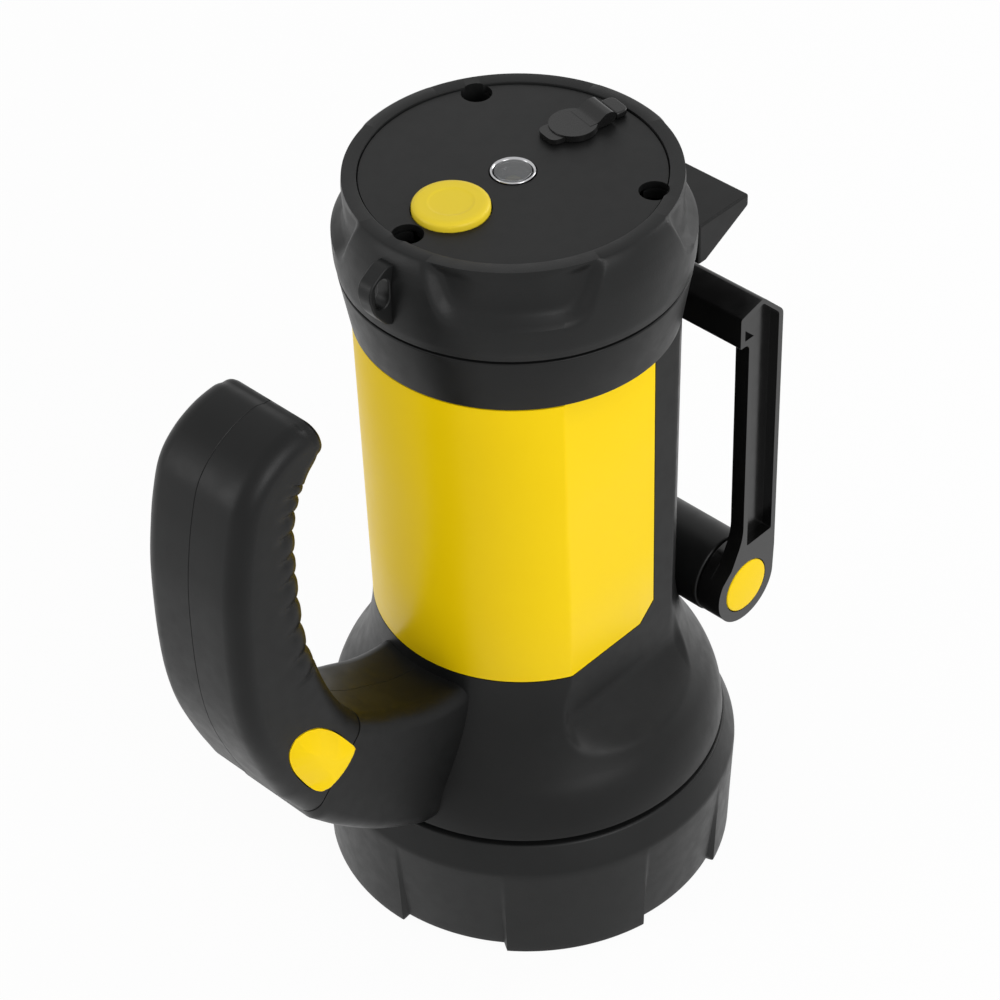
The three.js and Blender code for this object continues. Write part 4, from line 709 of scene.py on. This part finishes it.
elbow = {"x": -89.91, "z": 94.3, "halfChord": 15.0, "halfWidth": 16.6, "corner": 5.0, "gap": 0.15,
         "seamEdge": 0.3}
arm = {
    # upper x and z, lower x and z, from the elbow to the tube
    "stations": [(-77, 103.4, -98.8, 79.6), (-70, 98.6, -89.6, 69.8), (-63.5, 95.4, -77, 58.6),
                 (-55, 91.4, -65, 50.6), (-47, 89.2, -57, 46.6), (-38.5, 88.4, -43, 46.4)],
    "groove": 0.18, "grooveHalf": 0.16, "seat": 12.8, "blend": (0.03, 0.12, 0.3, 0.5, 0.75),
    "perStation": 6, "seamReach": 2,
}


# A place by its distance from the elbow's parting plane, which leans 45 degrees, and along it
def seamPoint(along, across):
    step = math.sqrt(0.5)
    return Vector((elbow["x"] + (along + across) * step, 0, elbow["z"] + (across - along) * step))


# The steps of the arm's and the grip's sections: in from the inner corners, over the ends
# and round the corners
section = {"insets": (0.7, 1.4, 2.2, 3.2, 4.6, 6.5), "insetRoom": 12, "across": (1, 0.6, 0.25),
           "cornerSteps": 8, "cornerLimit": 0.9}


# A ring round a section between two points of the middle plane: each entry holds its
# place along and across the section, and the way out from it
def sectionRing(halfLength, halfWidth, corner, grooveHalf):
    radius = min(corner, halfLength * section["cornerLimit"], halfWidth * section["cornerLimit"])
    reach, side = halfLength - radius, halfWidth - radius
    scale = min(1, 2 * reach / section["insetRoom"])
    insets = [inset * scale for inset in section["insets"]]
    far = [side * share for share in section["across"]]
    across = [-v for v in far] + [-grooveHalf, 0, grooveHalf] + far[:0:-1]
    places = [(halfLength, v, 1, 0) for v in across]

    def corners(signU, signV, start):
        for k in range(section["cornerSteps"] + 1):
            turn = start + k * math.pi / (2 * section["cornerSteps"])
            cosine, sine = math.cos(turn), math.sin(turn)
            places.append((signU * reach + radius * cosine, signV * side + radius * sine,
                           cosine, sine))

    corners(1, 1, 0)
    places.extend((reach - inset, halfWidth, 0, 1) for inset in insets)
    places.append((mix(reach - insets[-1], -reach, 0.5), halfWidth, 0, 1))
    corners(-1, 1, math.pi / 2)
    places.extend((-halfLength, -v, -1, 0) for v in across[1:])
    corners(-1, -1, math.pi)
    places.append((mix(reach - insets[-1], -reach, 0.5), -halfWidth, 0, -1))
    places.extend((reach - inset, -halfWidth, 0, -1) for inset in reversed(insets))
    corners(1, -1, 1.5 * math.pi)
    return places[1:]


# A closed body through stations of (inner point, outer point, half width), with a parting
# groove in its middle plane. What press gives for a place is pushed in there.
def sweptBody(stations, corner, groove, grooveHalf, press=None):
    rings = []
    for index, (inner, outer, halfWidth) in enumerate(stations):
        middle = (inner + outer) / 2
        along = (inner - outer).normalized()
        halfLength = (inner - outer).length / 2
        around = []
        for u, v, outU, outV in sectionRing(halfLength, halfWidth, corner, grooveHalf):
            sink = groove if v == 0 else 0
            if press:
                sink += press(index, halfLength - u, outU)
            around.append(middle + along * (u - outU * sink) + Vector((0, v - outV * sink, 0)))
        rings.append(around)
    return lofted(rings)


# Rounds the rim of the end face that lies on the elbow's parting plane
def edgedSeam(bm, onSeam):
    rim = [edge for edge in bm.edges if len(edge.link_faces) == 2 and onSeam(edge.verts[0].co)
           and max(len(face.verts) for face in edge.link_faces) > 20]
    bmesh.ops.bevel(bm, geom=rim, offset=elbow["seamEdge"], segments=2, profile=0.5,
                    affect="EDGES", material=-1, clamp_overlap=True)


def elbowArm():
    pairs = smoothPath(arm["stations"], arm["perStation"])
    near = seamPoint(elbow["gap"], elbow["halfChord"])
    far = seamPoint(elbow["gap"], -elbow["halfChord"])
    stations = [(near, far, elbow["halfWidth"])]
    first = arm["stations"][0]
    for t in arm["blend"]:
        top = near.lerp(Vector((first[0], 0, first[1])), t)
        bottom = far.lerp(Vector((first[2], 0, first[3])), t)
        stations.append((top, bottom, elbow["halfWidth"]))
    for a, b, c, d in pairs:
        stations.append((Vector((a, 0, b)), Vector((c, 0, d)), elbow["halfWidth"]))
    bm = sweptBody(stations, elbow["corner"], arm["groove"], arm["grooveHalf"])
    edgedSeam(bm, lambda place: place.x - elbow["x"] - (place.z - elbow["z"]) < arm["seamReach"])
    bm = carved(bm, wellsOf(("housing_screw_1", "housing_screw_2"), arm["seat"],
                            screwWell["armReach"]))
    finished("elbowArm", bm, "torch", ["housing_left", "housing_right"], "body_black", 32)


pivot = {"x": 48.6, "z": 81.8, "tube": 12.3, "tubeEnd": 33.4, "tubeEdge": 0.7, "hub": 12.0,
         "hubInner": 33.7}


def pivotBoss():
    bm = rodAlongY(pivot["x"], pivot["z"], -pivot["tubeEnd"], pivot["tubeEnd"], pivot["tube"], 128)
    softened(bm, pivot["tubeEdge"])
    finished("pivotBoss", bm, "torch", ["housing_left", "housing_right"], "body_black", 35,
             weighted=True)


bezelRing()
frontLens()
reflectorBowl()
print("head made")
bodyShell()
bodySleeve()
elbowArm()
pivotBoss()
print("body made")


# Rear: collar and foot, ring with scallops and lug, plate

collar = {"bottom": 190.0, "top": 207.8, "lowRadius": 44.2, "radius": 47.1, "bore": 30.0,
          "edge": 0.5, "stepTop": 0.5, "stepBottom": 0.4, "stepDepth": 1, "stepEdge": 0.1}
foot = {"face": 60.3, "halfWidth": 29.3, "faceHeight": 3.8, "root": 40, "rootHeight": 12.6,
        "heel": 43, "below": 0.02, "edge": 0.7}


def rearCollar():
    inner = collar["radius"] - collar["stepDepth"]  # a step at the top makes the dark seam
    profile = roundedPath([
        (collar["bore"], collar["bottom"], 0),
        (collar["lowRadius"], collar["bottom"], collar["edge"]),
        (collar["radius"], collar["top"] - collar["stepTop"], collar["edge"]),
        (inner, collar["top"] - collar["stepBottom"], collar["stepEdge"]),
        (inner, collar["top"], 0), (collar["bore"], collar["top"], 0),
    ], closed=True)
    bm = spun(profile, 540, closed=True)
    finished("rearCollar", bm, "torch", ["rear_collar"], "body_black", 50)


def rearFoot():
    top = collar["top"] - foot["below"]
    outline = [(foot["root"], top), (foot["face"], top), (foot["face"], top - foot["faceHeight"]),
               (foot["heel"], top - foot["rootHeight"]), (foot["root"], top - foot["rootHeight"])]
    bm = softened(pressed(outline, -foot["halfWidth"], foot["halfWidth"], basisY), foot["edge"])
    finished("rearFoot", bm, "torch", ["rear_collar"], "body_black", 35, weighted=True)


ring = {
    "bottom": 208.1, "top": 234.0, "root": 47.1, "lobe": 47.9, "rim": 44.3, "pocket": 40.3,
    # its lower edge: how far inside the root at the bottom and above it, and how far above
    "lowEdge": (0.7, 0.1, 0.45), "perSpan": 5,
    # the pocket's upper edge: how far outside the pocket and how far below the top
    "pocketEdge": [(0.35, 0), (0.1, 0.1), (0, 0.35)],
    "ledge": 231.2, "ledgeRadius": 34.0, "bore": 38.6, "ledgeBottom": 228.4,
    # the outer wall: share of the height, and radius
    "wall": [(0, 47.1), (0.05, 47.35), (0.14, 47.7), (0.34, 47.9), (0.56, 47.8), (0.7, 47.4),
             (0.78, 47.0), (0.86, 46.5), (0.92, 45.95), (0.965, 45.3), (0.99, 44.75), (1, 44.3)],
    "scallopCount": 4, "scallopRise": 11.2, "scallopBottomHalf": 17.5, "scallopTopHalf": 25.5,
    "scallopTop": 239.0, "floorLow": 45.8, "floorHigh": 44.3, "edge": 3.0, "cornerSoftness": 5.0,
    # the hollow along a scallop's sides: its depth, where it sets in and runs out, counted
    # from the sides, and the share of the height over which it fades
    "hollow": 1.2, "hollowIn": (-1, 3), "hollowOut": (3, 14), "hollowFade": (0.75, 1),
    "wellRadius": 3.8, "wellFloor": 217.7, "wellReach": 5, "screwCircle": 37.4,
    "screwAngles": (60, 180, 300),
}
lug = {
    "root": 44.0, "reach": 55.2, "bottom": 211.5, "top": 231.0, "thickness": 4.6,
    # its outline: share of the reach and share of the height
    "shares": [(0, 0.97), (0.44, 1), (0.94, 0.82), (1, 0.64), (0.87, 0.37), (0.5, 0.09), (0.1, 0)],
    "rounding": 1.6, "rootRoom": 0.5, "holeRadius": 2.35, "holeReach": 50.6, "holeLow": 221.6,
    "holeHigh": 225.8, "holeSteps": 12, "holeHalf": 9, "bevel": 0.5,
}


# How far a place on the ring's wall is sunk, as a share, and how far inside a scallop it lies
def scallopDepth(angle, height):
    step = fullTurn / ring["scallopCount"]
    turn = (angle - rearTurn) % step - step / 2
    across = abs(ring["lobe"] * math.sin(turn))
    low = ring["bottom"] + ring["scallopRise"]
    lean = (ring["scallopTopHalf"] - ring["scallopBottomHalf"]) / (ring["scallopTop"] - low)
    slant = math.hypot(1, lean)
    fromSide = (ring["scallopBottomHalf"] + lean * (height - low) - across) / slant
    fromBottom = height - low
    inside = softMin(fromSide, fromBottom, ring["cornerSoftness"])
    return ease(-ring["edge"] / 2, ring["edge"] / 2, inside), inside


def screwBores(radius, low, high, turn=0):
    return [turnedBy(shifted(pressed(circlePath(radius), low, high), ring["screwCircle"], 0),
                     math.radians(angle) + turn) for angle in ring["screwAngles"]]


def rearRing():
    height = ring["top"] - ring["bottom"]
    outer = smoothPath([(radius, ring["bottom"] + share * height)
                        for share, radius in ring["wall"]], ring["perSpan"])
    under, side, lift = ring["lowEdge"]
    profile = [(ring["root"] - under, ring["bottom"]), (ring["root"] - side, ring["bottom"] + lift)]
    profile += [(point.x, point.y) for point in outer[1:]]
    profile += [(ring["pocket"] + out, ring["top"] - down) for out, down in ring["pocketEdge"]]
    profile += [(ring["pocket"], ring["ledge"]),
                (ring["ledgeRadius"], ring["ledge"]), (ring["ledgeRadius"], ring["ledgeBottom"]),
                (ring["bore"], ring["ledgeBottom"]), (ring["bore"], ring["bottom"])]
    bm = spun(profile, 720, closed=True)
    for vert in bm.verts:
        x, y, z = vert.co
        radius = math.hypot(x, y)
        if radius < ring["rim"] - 2 * slack:
            continue
        depth, inside = scallopDepth(math.atan2(y, x), z)
        rise = (z - ring["bottom"] - ring["scallopRise"]) / (height - ring["scallopRise"])
        floorRadius = mix(ring["floorLow"], ring["floorHigh"], min(max(rise, 0), 1))
        floorRadius -= (ring["hollow"] * ease(*ring["hollowIn"], inside)
                        * (1 - ease(*ring["hollowOut"], inside))
                        * (1 - ease(*ring["hollowFade"], rise)))
        if radius > floorRadius:
            grown = mix(radius, floorRadius, depth) / radius
            vert.co = (x * grown, y * grown, z)
    bm = carved(bm, screwBores(ring["wellRadius"], ring["wellFloor"],
                               ring["top"] + ring["wellReach"], rearTurn))
    finished("rearRing", bm, "torch", ["rear_ring"], "head_black", 38)


def lanyardLug():
    outline = [(-mix(lug["root"], lug["reach"], reach), mix(lug["bottom"], lug["top"], rise))
               for reach, rise in lug["shares"]]
    rounded = roundedPath([(a, b, 0 if a > -lug["root"] - lug["rootRoom"] else lug["rounding"])
                           for a, b in outline], closed=True, steps=4)
    bm = pressed(rounded, -lug["thickness"] / 2, lug["thickness"] / 2, basisY)
    steps = lug["holeSteps"]
    slot = [(-lug["holeReach"] + lug["holeRadius"] * math.cos(turn),
             level + lug["holeRadius"] * math.sin(turn))
            for level, start in ((lug["holeHigh"], 0), (lug["holeLow"], math.pi))
            for turn in (start + k * math.pi / steps for k in range(steps + 1))]
    bm = carved(bm, [pressed(slot, -lug["holeHalf"], lug["holeHalf"], basisY)])
    softened(bm, lug["bevel"])
    finished("lanyardLug", bm, "torch", ["rear_ring"], "head_black", 35, weighted=True)


plate = {"radius": 40.0, "bottom": 231.5, "top": 233.4, "holeRadius": 4.2, "bevel": 0.2, "room": 2}
button = {
    "x": -22.2, "radius": 10.2, "gap": 0.35, "top": 235.6, "seam": 232.6, "seamGap": 0.02,
    # its yellow face from the middle out: radius, how far below the top, rounding
    "face": [(0, 0.25, 0), (3.4, 0.25, 0), (5.6, 0.2, 0.4), (6.1, 0.04, 0.25), (8.6, 0.02, 0.5)],
    "rimDrop": 0.35, "rimEdge": 1.1,
    # the flange and stem of its black base: radius and height
    "base": [(10.9, 231.2), (10.9, 229.9), (3.5, 229.9), (3.5, 227.6), (0, 227.6)],
}
indicator = {
    "hole": 6.3,
    # radius, height, rounding
    "window": [(0, 229.9, 0), (7.2, 229.9, 0), (7.2, 231.2, 0), (5.0, 231.2, 0), (5.0, 233.75, 0.5),
               (0, 233.85, 0)],
    "rim": [(5.15, 231.3, 0), (6.0, 231.3, 0), (6.0, 233.8, 0.25), (5.6, 233.9, 0.2),
            (5.15, 233.4, 0.1)],
}
charging = {"x": 24.3, "y": 1.2, "turn": math.radians(-12), "slotHalf": (3, 5.2)}


def onCharging(bm):
    return shifted(turnedBy(bm, charging["turn"]), charging["x"], charging["y"])


def rearPlate():
    low, high = plate["bottom"] - plate["room"], plate["top"] + plate["room"]
    bm = pressed(circlePath(plate["radius"], count=240), plate["bottom"], plate["top"])
    buttonHole = pressed(circlePath(button["radius"] + button["gap"]), low, high)
    holes = [shifted(buttonHole, button["x"], 0), pressed(circlePath(indicator["hole"]), low, high)]
    holes += screwBores(plate["holeRadius"], low, high)
    bm = turnedBy(carved(bm, holes), rearTurn)
    x, y = charging["slotHalf"]
    bm = carved(bm, [onCharging(boxOf((-x, x), (-y, y), (low, high)))])
    softened(bm, plate["bevel"], 2,
             only=lambda edge: min(v.co.z for v in edge.verts) > plate["top"] - slack)
    finished("rearPlate", bm, "torch", ["rear_plate"], "body_black", 35, weighted=True)


def powerButton():
    radius, top, seam = button["radius"], button["top"], button["seam"]
    face = [(reach, top - down, rounding) for reach, down, rounding in button["face"]]
    face += [(radius, top - button["rimDrop"], button["rimEdge"]), (radius, seam, 0), (0, seam, 0)]
    bm = turnedBy(shifted(spun(roundedPath(face, steps=6), 180), button["x"], 0), rearTurn)
    below = seam - button["seamGap"]
    stem = [(0, below), (radius, below), (radius, button["base"][0][1])] + button["base"]
    base = turnedBy(shifted(spun(stem, 120), button["x"], 0), rearTurn)
    finished("powerButtonBase", base, "power_button", ["power_button"], "body_black", 45)
    finished("powerButton", bm, "power_button", ["power_button"], "button_yellow", 45)


def indicatorWindow():
    window = spun(roundedPath(indicator["window"], steps=4), 120)
    rim = spun(roundedPath(indicator["rim"], closed=True, steps=3), 120, closed=True)
    finished("indicatorWindow", window, "torch", ["indicator_lens"], "clear_lens", 40,
             look="greyLens")
    finished("indicatorRim", rim, "torch", ["indicator_lens"], "mirror", 40, look="chromeRim")


flap = {
    "low": 233.7, "high": 235.5, "radius": 6.5, "bevel": 0.4,
    "tabReach": 9.2, "tabHalf": 3.8, "tabDrop": 0.35, "tabEdges": (0, 0, 2.6, 2.6),
    "plugHalf": (1.7, 4.3), "plugDepth": 1.6, "plugDrop": 0.5,
    "hingeX": 9.0, "hingeRadius": 1.8, "strapHalf": 4.3, "strap": 1.4, "strapLift": 0.05,
    "strapCrown": 0.1, "strapEnd": 2.4, "strapEdges": (0, 0, 0.3, 0.6, 0.8, 0.2),
    "knuckleExtra": 0.01,
}
anchor = {"gap": 0.6, "length": 4.2, "half": 3.8, "height": 2.2, "edges": (0.7, 2.2, 2.2, 0.7),
          "bevel": 0.6}


def socketFlap():
    low, high = flap["low"], flap["high"]
    lid = pressed(circlePath(flap["radius"], count=72), low, high)
    reach, half = flap["tabReach"], flap["tabHalf"]
    tab = pressed(roundedPath(edged([(0, -half), (0, half), (-reach, half), (-reach, -half)],
                                    flap["tabEdges"]), closed=True), low, high - flap["tabDrop"])
    x, y = flap["plugHalf"]
    plug = boxOf((-x, x), (-y, y), (plate["top"] - flap["plugDepth"], high - flap["plugDrop"]))
    hingeX, hingeHeight = flap["hingeX"], low + flap["hingeRadius"]
    under, over = low + flap["strapLift"], high + flap["strapCrown"]
    strap = pressed(roundedPath(edged([
        (0, under), (hingeX, under), (hingeX, hingeHeight + flap["hingeRadius"]),
        (hingeX - flap["strap"], hingeHeight + flap["hingeRadius"]),
        (flap["radius"] - flap["strap"], over), (flap["strapEnd"], over),
    ], flap["strapEdges"]), closed=True, steps=3), -flap["strapHalf"], flap["strapHalf"], basisY)
    end = flap["strapHalf"] + flap["knuckleExtra"]
    knuckle = rodAlongY(hingeX, hingeHeight, -end, end, flap["hingeRadius"], 32)
    bm = joined(lid, [tab, plug, strap, knuckle])
    softened(bm, flap["bevel"], 2, 40)
    finished("socketFlap", onCharging(bm), "usb_cover", ["usb_cover"], "black_rubber", 40,
             weighted=True)


def flapAnchor():
    left = flap["hingeX"] + flap["hingeRadius"] + anchor["gap"]
    right = left + anchor["length"]
    half = anchor["half"]
    outline = roundedPath(edged([(left, -half), (right, -half), (right, half), (left, half)],
                                anchor["edges"]), closed=True)
    bm = pressed(outline, flap["low"], plate["top"] + anchor["height"])
    softened(bm, anchor["bevel"], 3, 40)
    finished("flapAnchor", onCharging(bm), "torch", ["usb_cover_anchor"], "black_rubber",
             40, weighted=True)


rearCollar()
rearFoot()
rearRing()
lanyardLug()
rearPlate()
powerButton()
indicatorWindow()
socketFlap()
flapAnchor()
print("rear made")


# Folding stand

stand = {
    "outer": 42.0, "inner": 37.3, "armInner": 46.7, "armOuter": 61.0, "barInner": 43.0,
    "barBottom": 171.3, "barCorner": 181.4, "barPeak": 183.7, "barPeakX": 52.3, "rim": 1.8,
    "trough": 3.2, "troughBottom": 97.0, "barWall": 2.4, "neck": 19.0, "neckFootX": 42.0,
    "neckFootRise": 9.6, "capPocket": 8.7, "capFloor": 39.9, "bevel": 0.5, "reachOut": 3,
    "hubCount": 128, "hubSteps": 75, "hubRun": 8, "overlap": 0.01,
    # roundings of the bar's end, of the channel under it, of the neck and of the trough
    "barEdges": (0.6, 0.8, 1.0, 1.6), "channelEdges": (0.6, 0.5, 0.5, 0.5, 0.5),
    "neckEdges": (0, 4, 2.2), "troughEdges": (0.4, 0.6, 0.8, 0.9, 0.6, 0.6, 0),
}


def barEnd():
    shoulder = stand["barPeak"] - (stand["armOuter"] - stand["barPeakX"])
    return edged([(stand["barInner"], stand["barBottom"]), (stand["barInner"], stand["barCorner"]),
                  (stand["barPeakX"], stand["barPeak"]), (stand["armOuter"], shoulder)],
                 stand["barEdges"]), shoulder


# One arm with its end of the bar and its hub, a trough on its outer face and the cap's pocket
def standSide(sign):
    x, z, hub, rim = pivot["x"], pivot["z"], pivot["hub"], stand["rim"]
    end, shoulder = barEnd()
    turns = [-fullTurn * k / stand["hubCount"] for k in range(stand["hubSteps"] + 1)]
    outline = end + [(stand["armOuter"], z + stand["hubRun"], 0)]
    outline += [(x + hub * math.cos(turn), z + hub * math.sin(turn), 0) for turn in turns]
    outline += edged([(stand["neckFootX"], z + stand["neckFootRise"]),
                      (stand["armInner"], z + stand["neck"]),
                      (stand["armInner"], stand["barBottom"])], stand["neckEdges"])
    left, right = stand["barInner"] + rim, stand["armOuter"] - rim
    trough = roundedPath(edged([
        (left, stand["barBottom"] + rim), (left, stand["barCorner"] - rim),
        (stand["barPeakX"], stand["barPeak"] - rim), (right, shoulder),
        (right, stand["troughBottom"]), (stand["armInner"] + rim, stand["troughBottom"]),
        (stand["armInner"] + rim, stand["barBottom"] + rim),
    ], stand["troughEdges"]), closed=True, steps=3)

    def span(near, far):
        return sorted((near * sign, far * sign))

    def isFree(edge):
        if any(abs(vert.co.y) > stand["inner"] + slack for vert in edge.verts):
            return True
        beside = any(math.hypot(vert.co.x - x, vert.co.z - z) > hub + slack for vert in edge.verts)
        return beside and min(vert.co.z for vert in edge.verts) < stand["barBottom"] - slack

    out = stand["outer"] + stand["reachOut"]
    bm = pressed(roundedPath(outline, closed=True, steps=6), *span(stand["inner"], stand["outer"]),
                 basisY)
    bm = carved(bm, [
        pressed(trough, *span(stand["outer"] - stand["trough"], out), basisY),
        rodAlongY(x, z, *span(stand["capFloor"], out), stand["capPocket"], 96),
    ])
    softened(bm, stand["bevel"], 3, 28, isFree)
    stub = rodAlongY(x, z, *span(pivot["hubInner"], stand["inner"] + stand["overlap"]), hub,
                     stand["hubCount"])
    softened(stub, stand["bevel"], only=lambda edge: max(
        abs(vert.co.y) for vert in edge.verts) < pivot["hubInner"] + slack)
    return [bm, stub]


def standFrame():
    end, shoulder = barEnd()
    left, right, wall = stand["barInner"], stand["armOuter"], stand["barWall"]
    bottom, reach = stand["barBottom"], stand["inner"] + stand["overlap"]
    channel = end + edged([(right, bottom), (right - wall, bottom), (right - wall, shoulder),
                           (left + wall, shoulder), (left + wall, bottom)], stand["channelEdges"])
    bar = pressed(roundedPath(channel, closed=True), -reach, reach, basisY)
    bm = gathered([bar] + standSide(1) + standSide(-1))
    finished("standFrame", bm, "stand", ["stand_bracket"], "gloss_black", 35, weighted=True)


cap = {"base": 40.2, "radius": 8.4, "height": 2.0, "middle": 2.05, "edge": 0.45}


def standCap(name, node, sign):
    profile = [(0, 0, 0), (cap["radius"], 0, 0), (cap["radius"], cap["height"], cap["edge"]),
               (0, cap["middle"], 0)]
    bm = spun(roundedPath(profile, steps=4), 120)
    tilt = Matrix.Rotation(-sign * math.pi / 2, 3, "X")
    bmesh.ops.rotate(bm, cent=(0, 0, 0), matrix=tilt, verts=bm.verts)
    shifted(bm, pivot["x"], sign * cap["base"], pivot["z"])
    finished(name, bm, "stand", [node], "yellow_plastic", 40)


standFrame()
standCap("standCapLeft", "stand_cap_left", 1)
standCap("standCapRight", "stand_cap_right", -1)
print("stand made")


# Grip with its ribs, and the lock button

grip = {
    # outer x and z, inner x and z, share of the half width
    "stations": [
        (-108.4, 95.4, -83.6, 110.6, 0.97), (-113.6, 107.4, -87.9, 119.6, 0.99),
        (-118.0, 120, -91, 127.8, 1), (-120.4, 132, -93.2, 135.6, 1), (-121.35, 145, -95.6, 146, 1),
        (-121.4, 158, -96.6, 158, 1), (-120.9, 170, -96.9, 169, 1), (-119.5, 180.5, -96.8, 178, 1),
        (-117.4, 190.8, -96.0, 186.6, 1), (-114.2, 200.6, -94.0, 192.2, 0.99),
        (-108.8, 206.8, -91.8, 195.8, 0.98), (-101.6, 210.9, -90.4, 197.6, 0.97),
        (-94.3, 212.6, -88.6, 199.2, 0.96), (-90.2, 211.8, -87.6, 200.9, 0.955),
    ],
    "halfWidth": 17.5, "corner": 5.5, "perStation": 12, "blend": (0.03, 0.15, 0.4, 0.7),
    "groove": 0.18, "grooveHalf": 0.16, "seat": 13.5, "seamReach": 20,
    "tipRound": 2.4, "tipTurns": (15, 30, 45, 60, 75, 88),
}
rib = {"first": 3, "last": 10, "count": 9, "depth": 1.1, "sharpness": 1.4, "wrap": 4.6,
       "sideShare": 0.7, "faceLimit": 0.05}
lock = {
    # x and z round the button, from its top over the outer side to the seam side
    "outline": [(-96.7, 115.1), (-101.2, 117.3), (-105.2, 117.3), (-107.4, 114.9), (-107.8, 111.9),
                (-107.1, 108.1), (-105.3, 103.6), (-102.1, 97.6), (-100.4, 95.6), (-98.3, 94.9),
                (-95.1, 95.4), (-91.8, 96.8), (-89.0, 99.0), (-87.2, 101.4), (-87.2, 102.9),
                (-88.1, 104.6), (-90.2, 108.0), (-92.9, 111.4)],
    # the side from the first of these places over the top to the last slopes away
    "slopeFirst": 16, "slopeLast": 7, "slope": 6.3, "drop": 2.9, "curve": 1.5,
    "edge": 0.7, "edgeDrop": 0.5, "perSpan": 6,
    "outer": -20.3, "inner": -12.8, "floor": -9.2, "gap": 0.3, "reachOut": -25,
    "rings": (1, 0.985, 0.97, 0.95, 0.92, 0.88, 0.83, 0.77, 0.7, 0.62, 0.53, 0.43, 0.32, 0.2, 0.06),
}


# The button's outline, or one that stands further out by a growth
def lockOutline(growth=0):
    points, steps = lock["outline"], lock["perSpan"]
    around = smoothPath([points[-1]] + points + points[:2], steps)[steps:steps * (len(points) + 1)]
    path = []
    for before, here, after in zip(around[-1:] + around[:-1], around, around[1:] + around[:1]):
        along = (after - before).normalized()
        path.append(here + Vector((along.y, -along.x)) * growth)
    return path


def gripHandle():
    rows, steps = grip["stations"], grip["perStation"]
    outer = smoothPath([(a, 0, b) for a, b, c, d, w in rows], steps)
    inner = smoothPath([(c, 0, d) for a, b, c, d, w in rows], steps)
    width = smoothPath([(w, 0) for a, b, c, d, w in rows], steps)
    seamInner = seamPoint(-elbow["gap"], elbow["halfChord"])
    seamOuter = seamPoint(-elbow["gap"], -elbow["halfChord"])
    stations = [(seamInner, seamOuter, elbow["halfWidth"])]
    for t in grip["blend"]:
        stations.append((seamInner.lerp(inner[0], t), seamOuter.lerp(outer[0], t),
                         mix(elbow["halfWidth"], width[0].x * grip["halfWidth"], t)))
    lead = len(stations)
    stations += [(b, a, w.x * grip["halfWidth"]) for a, b, w in zip(outer, inner, width)]
    near, far, half = stations[-1]
    forward = (near + far - stations[-2][0] - stations[-2][1]).normalized()
    inward = (far - near).normalized()
    for turn in map(math.radians, grip["tipTurns"]):
        shrink = grip["tipRound"] * (1 - math.cos(turn))
        push = forward * grip["tipRound"] * math.sin(turn)
        stations.append((near + inward * shrink + push, far - inward * shrink + push,
                         half - shrink))

    def valleyDepth(index, inset, outU):
        station = (index - lead) / steps
        if not rib["first"] < station < rib["last"]:
            return 0
        phase = (station - rib["first"]) / (rib["last"] - rib["first"]) * rib["count"]
        valley = (1 - abs(math.sin(phase * math.pi))) ** rib["sharpness"]
        if outU > rib["faceLimit"]:
            return valley * rib["depth"]
        reach = 1 - ease(grip["corner"], grip["corner"] + rib["wrap"], inset)
        return valley * rib["depth"] * reach * rib["sideShare"]

    bm = sweptBody(stations, grip["corner"], grip["groove"], grip["grooveHalf"], valleyDepth)
    edgedSeam(bm, lambda place: place.z < elbow["z"] + grip["seamReach"])
    window = pressed(lockOutline(lock["gap"]), lock["reachOut"], lock["floor"], basisY)
    wells = wellsOf(("grip_screw_1", "grip_screw_2", "grip_screw_3"), grip["seat"],
                    screwWell["armReach"])
    bm = carved(bm, wells + [window])
    finished("gripHandle", bm, "grip", ["grip_left", "grip_right"], "body_black", 36)


def reachTo(place, chain):
    nearest = []
    for a, b in zip(chain, chain[1:]):
        share = (place - a).dot(b - a) / (b - a).length_squared
        nearest.append((place - a.lerp(b, min(max(share, 0), 1))).length)
    return min(nearest)


# How far a place on the button's face lies from the sides that slope away, and from the
# sides that only have a small edge
def insideLock(place):
    points = [Vector(point) for point in lock["outline"]]
    sloped = points[lock["slopeFirst"]:] + points[:lock["slopeLast"] + 1]
    plain = points[lock["slopeLast"] + 1:lock["slopeFirst"]]
    return reachTo(place, sloped), reachTo(place, plain)


def lockButton():
    outline = lockOutline()
    centre = sum(outline, Vector((0, 0))) / len(outline)

    def ringAt(share, depth):
        places = [centre + (point - centre) * share for point in outline]
        return [Vector((place.x, depth, place.y)) for place in places]

    bm = lofted([ringAt(1, lock["inner"])]
                + [ringAt(share, lock["outer"]) for share in lock["rings"]])
    for vert in bm.verts:
        if vert.co.y > lock["outer"] + slack:
            continue
        sloped, plain = insideLock(Vector((vert.co.x, vert.co.z)))
        share = 1 - min(sloped / lock["slope"], 1)
        edge = 1 - min(plain / lock["edge"], 1)
        vert.co.y += (lock["drop"] * share ** lock["curve"]
                      + lock["edgeDrop"] * edge * edge * (1 - share))
    finished("lockButton", bm, "lock_button", ["lock_button"], "yellow_plastic", 40)


gripHandle()
lockButton()
print("grip made")
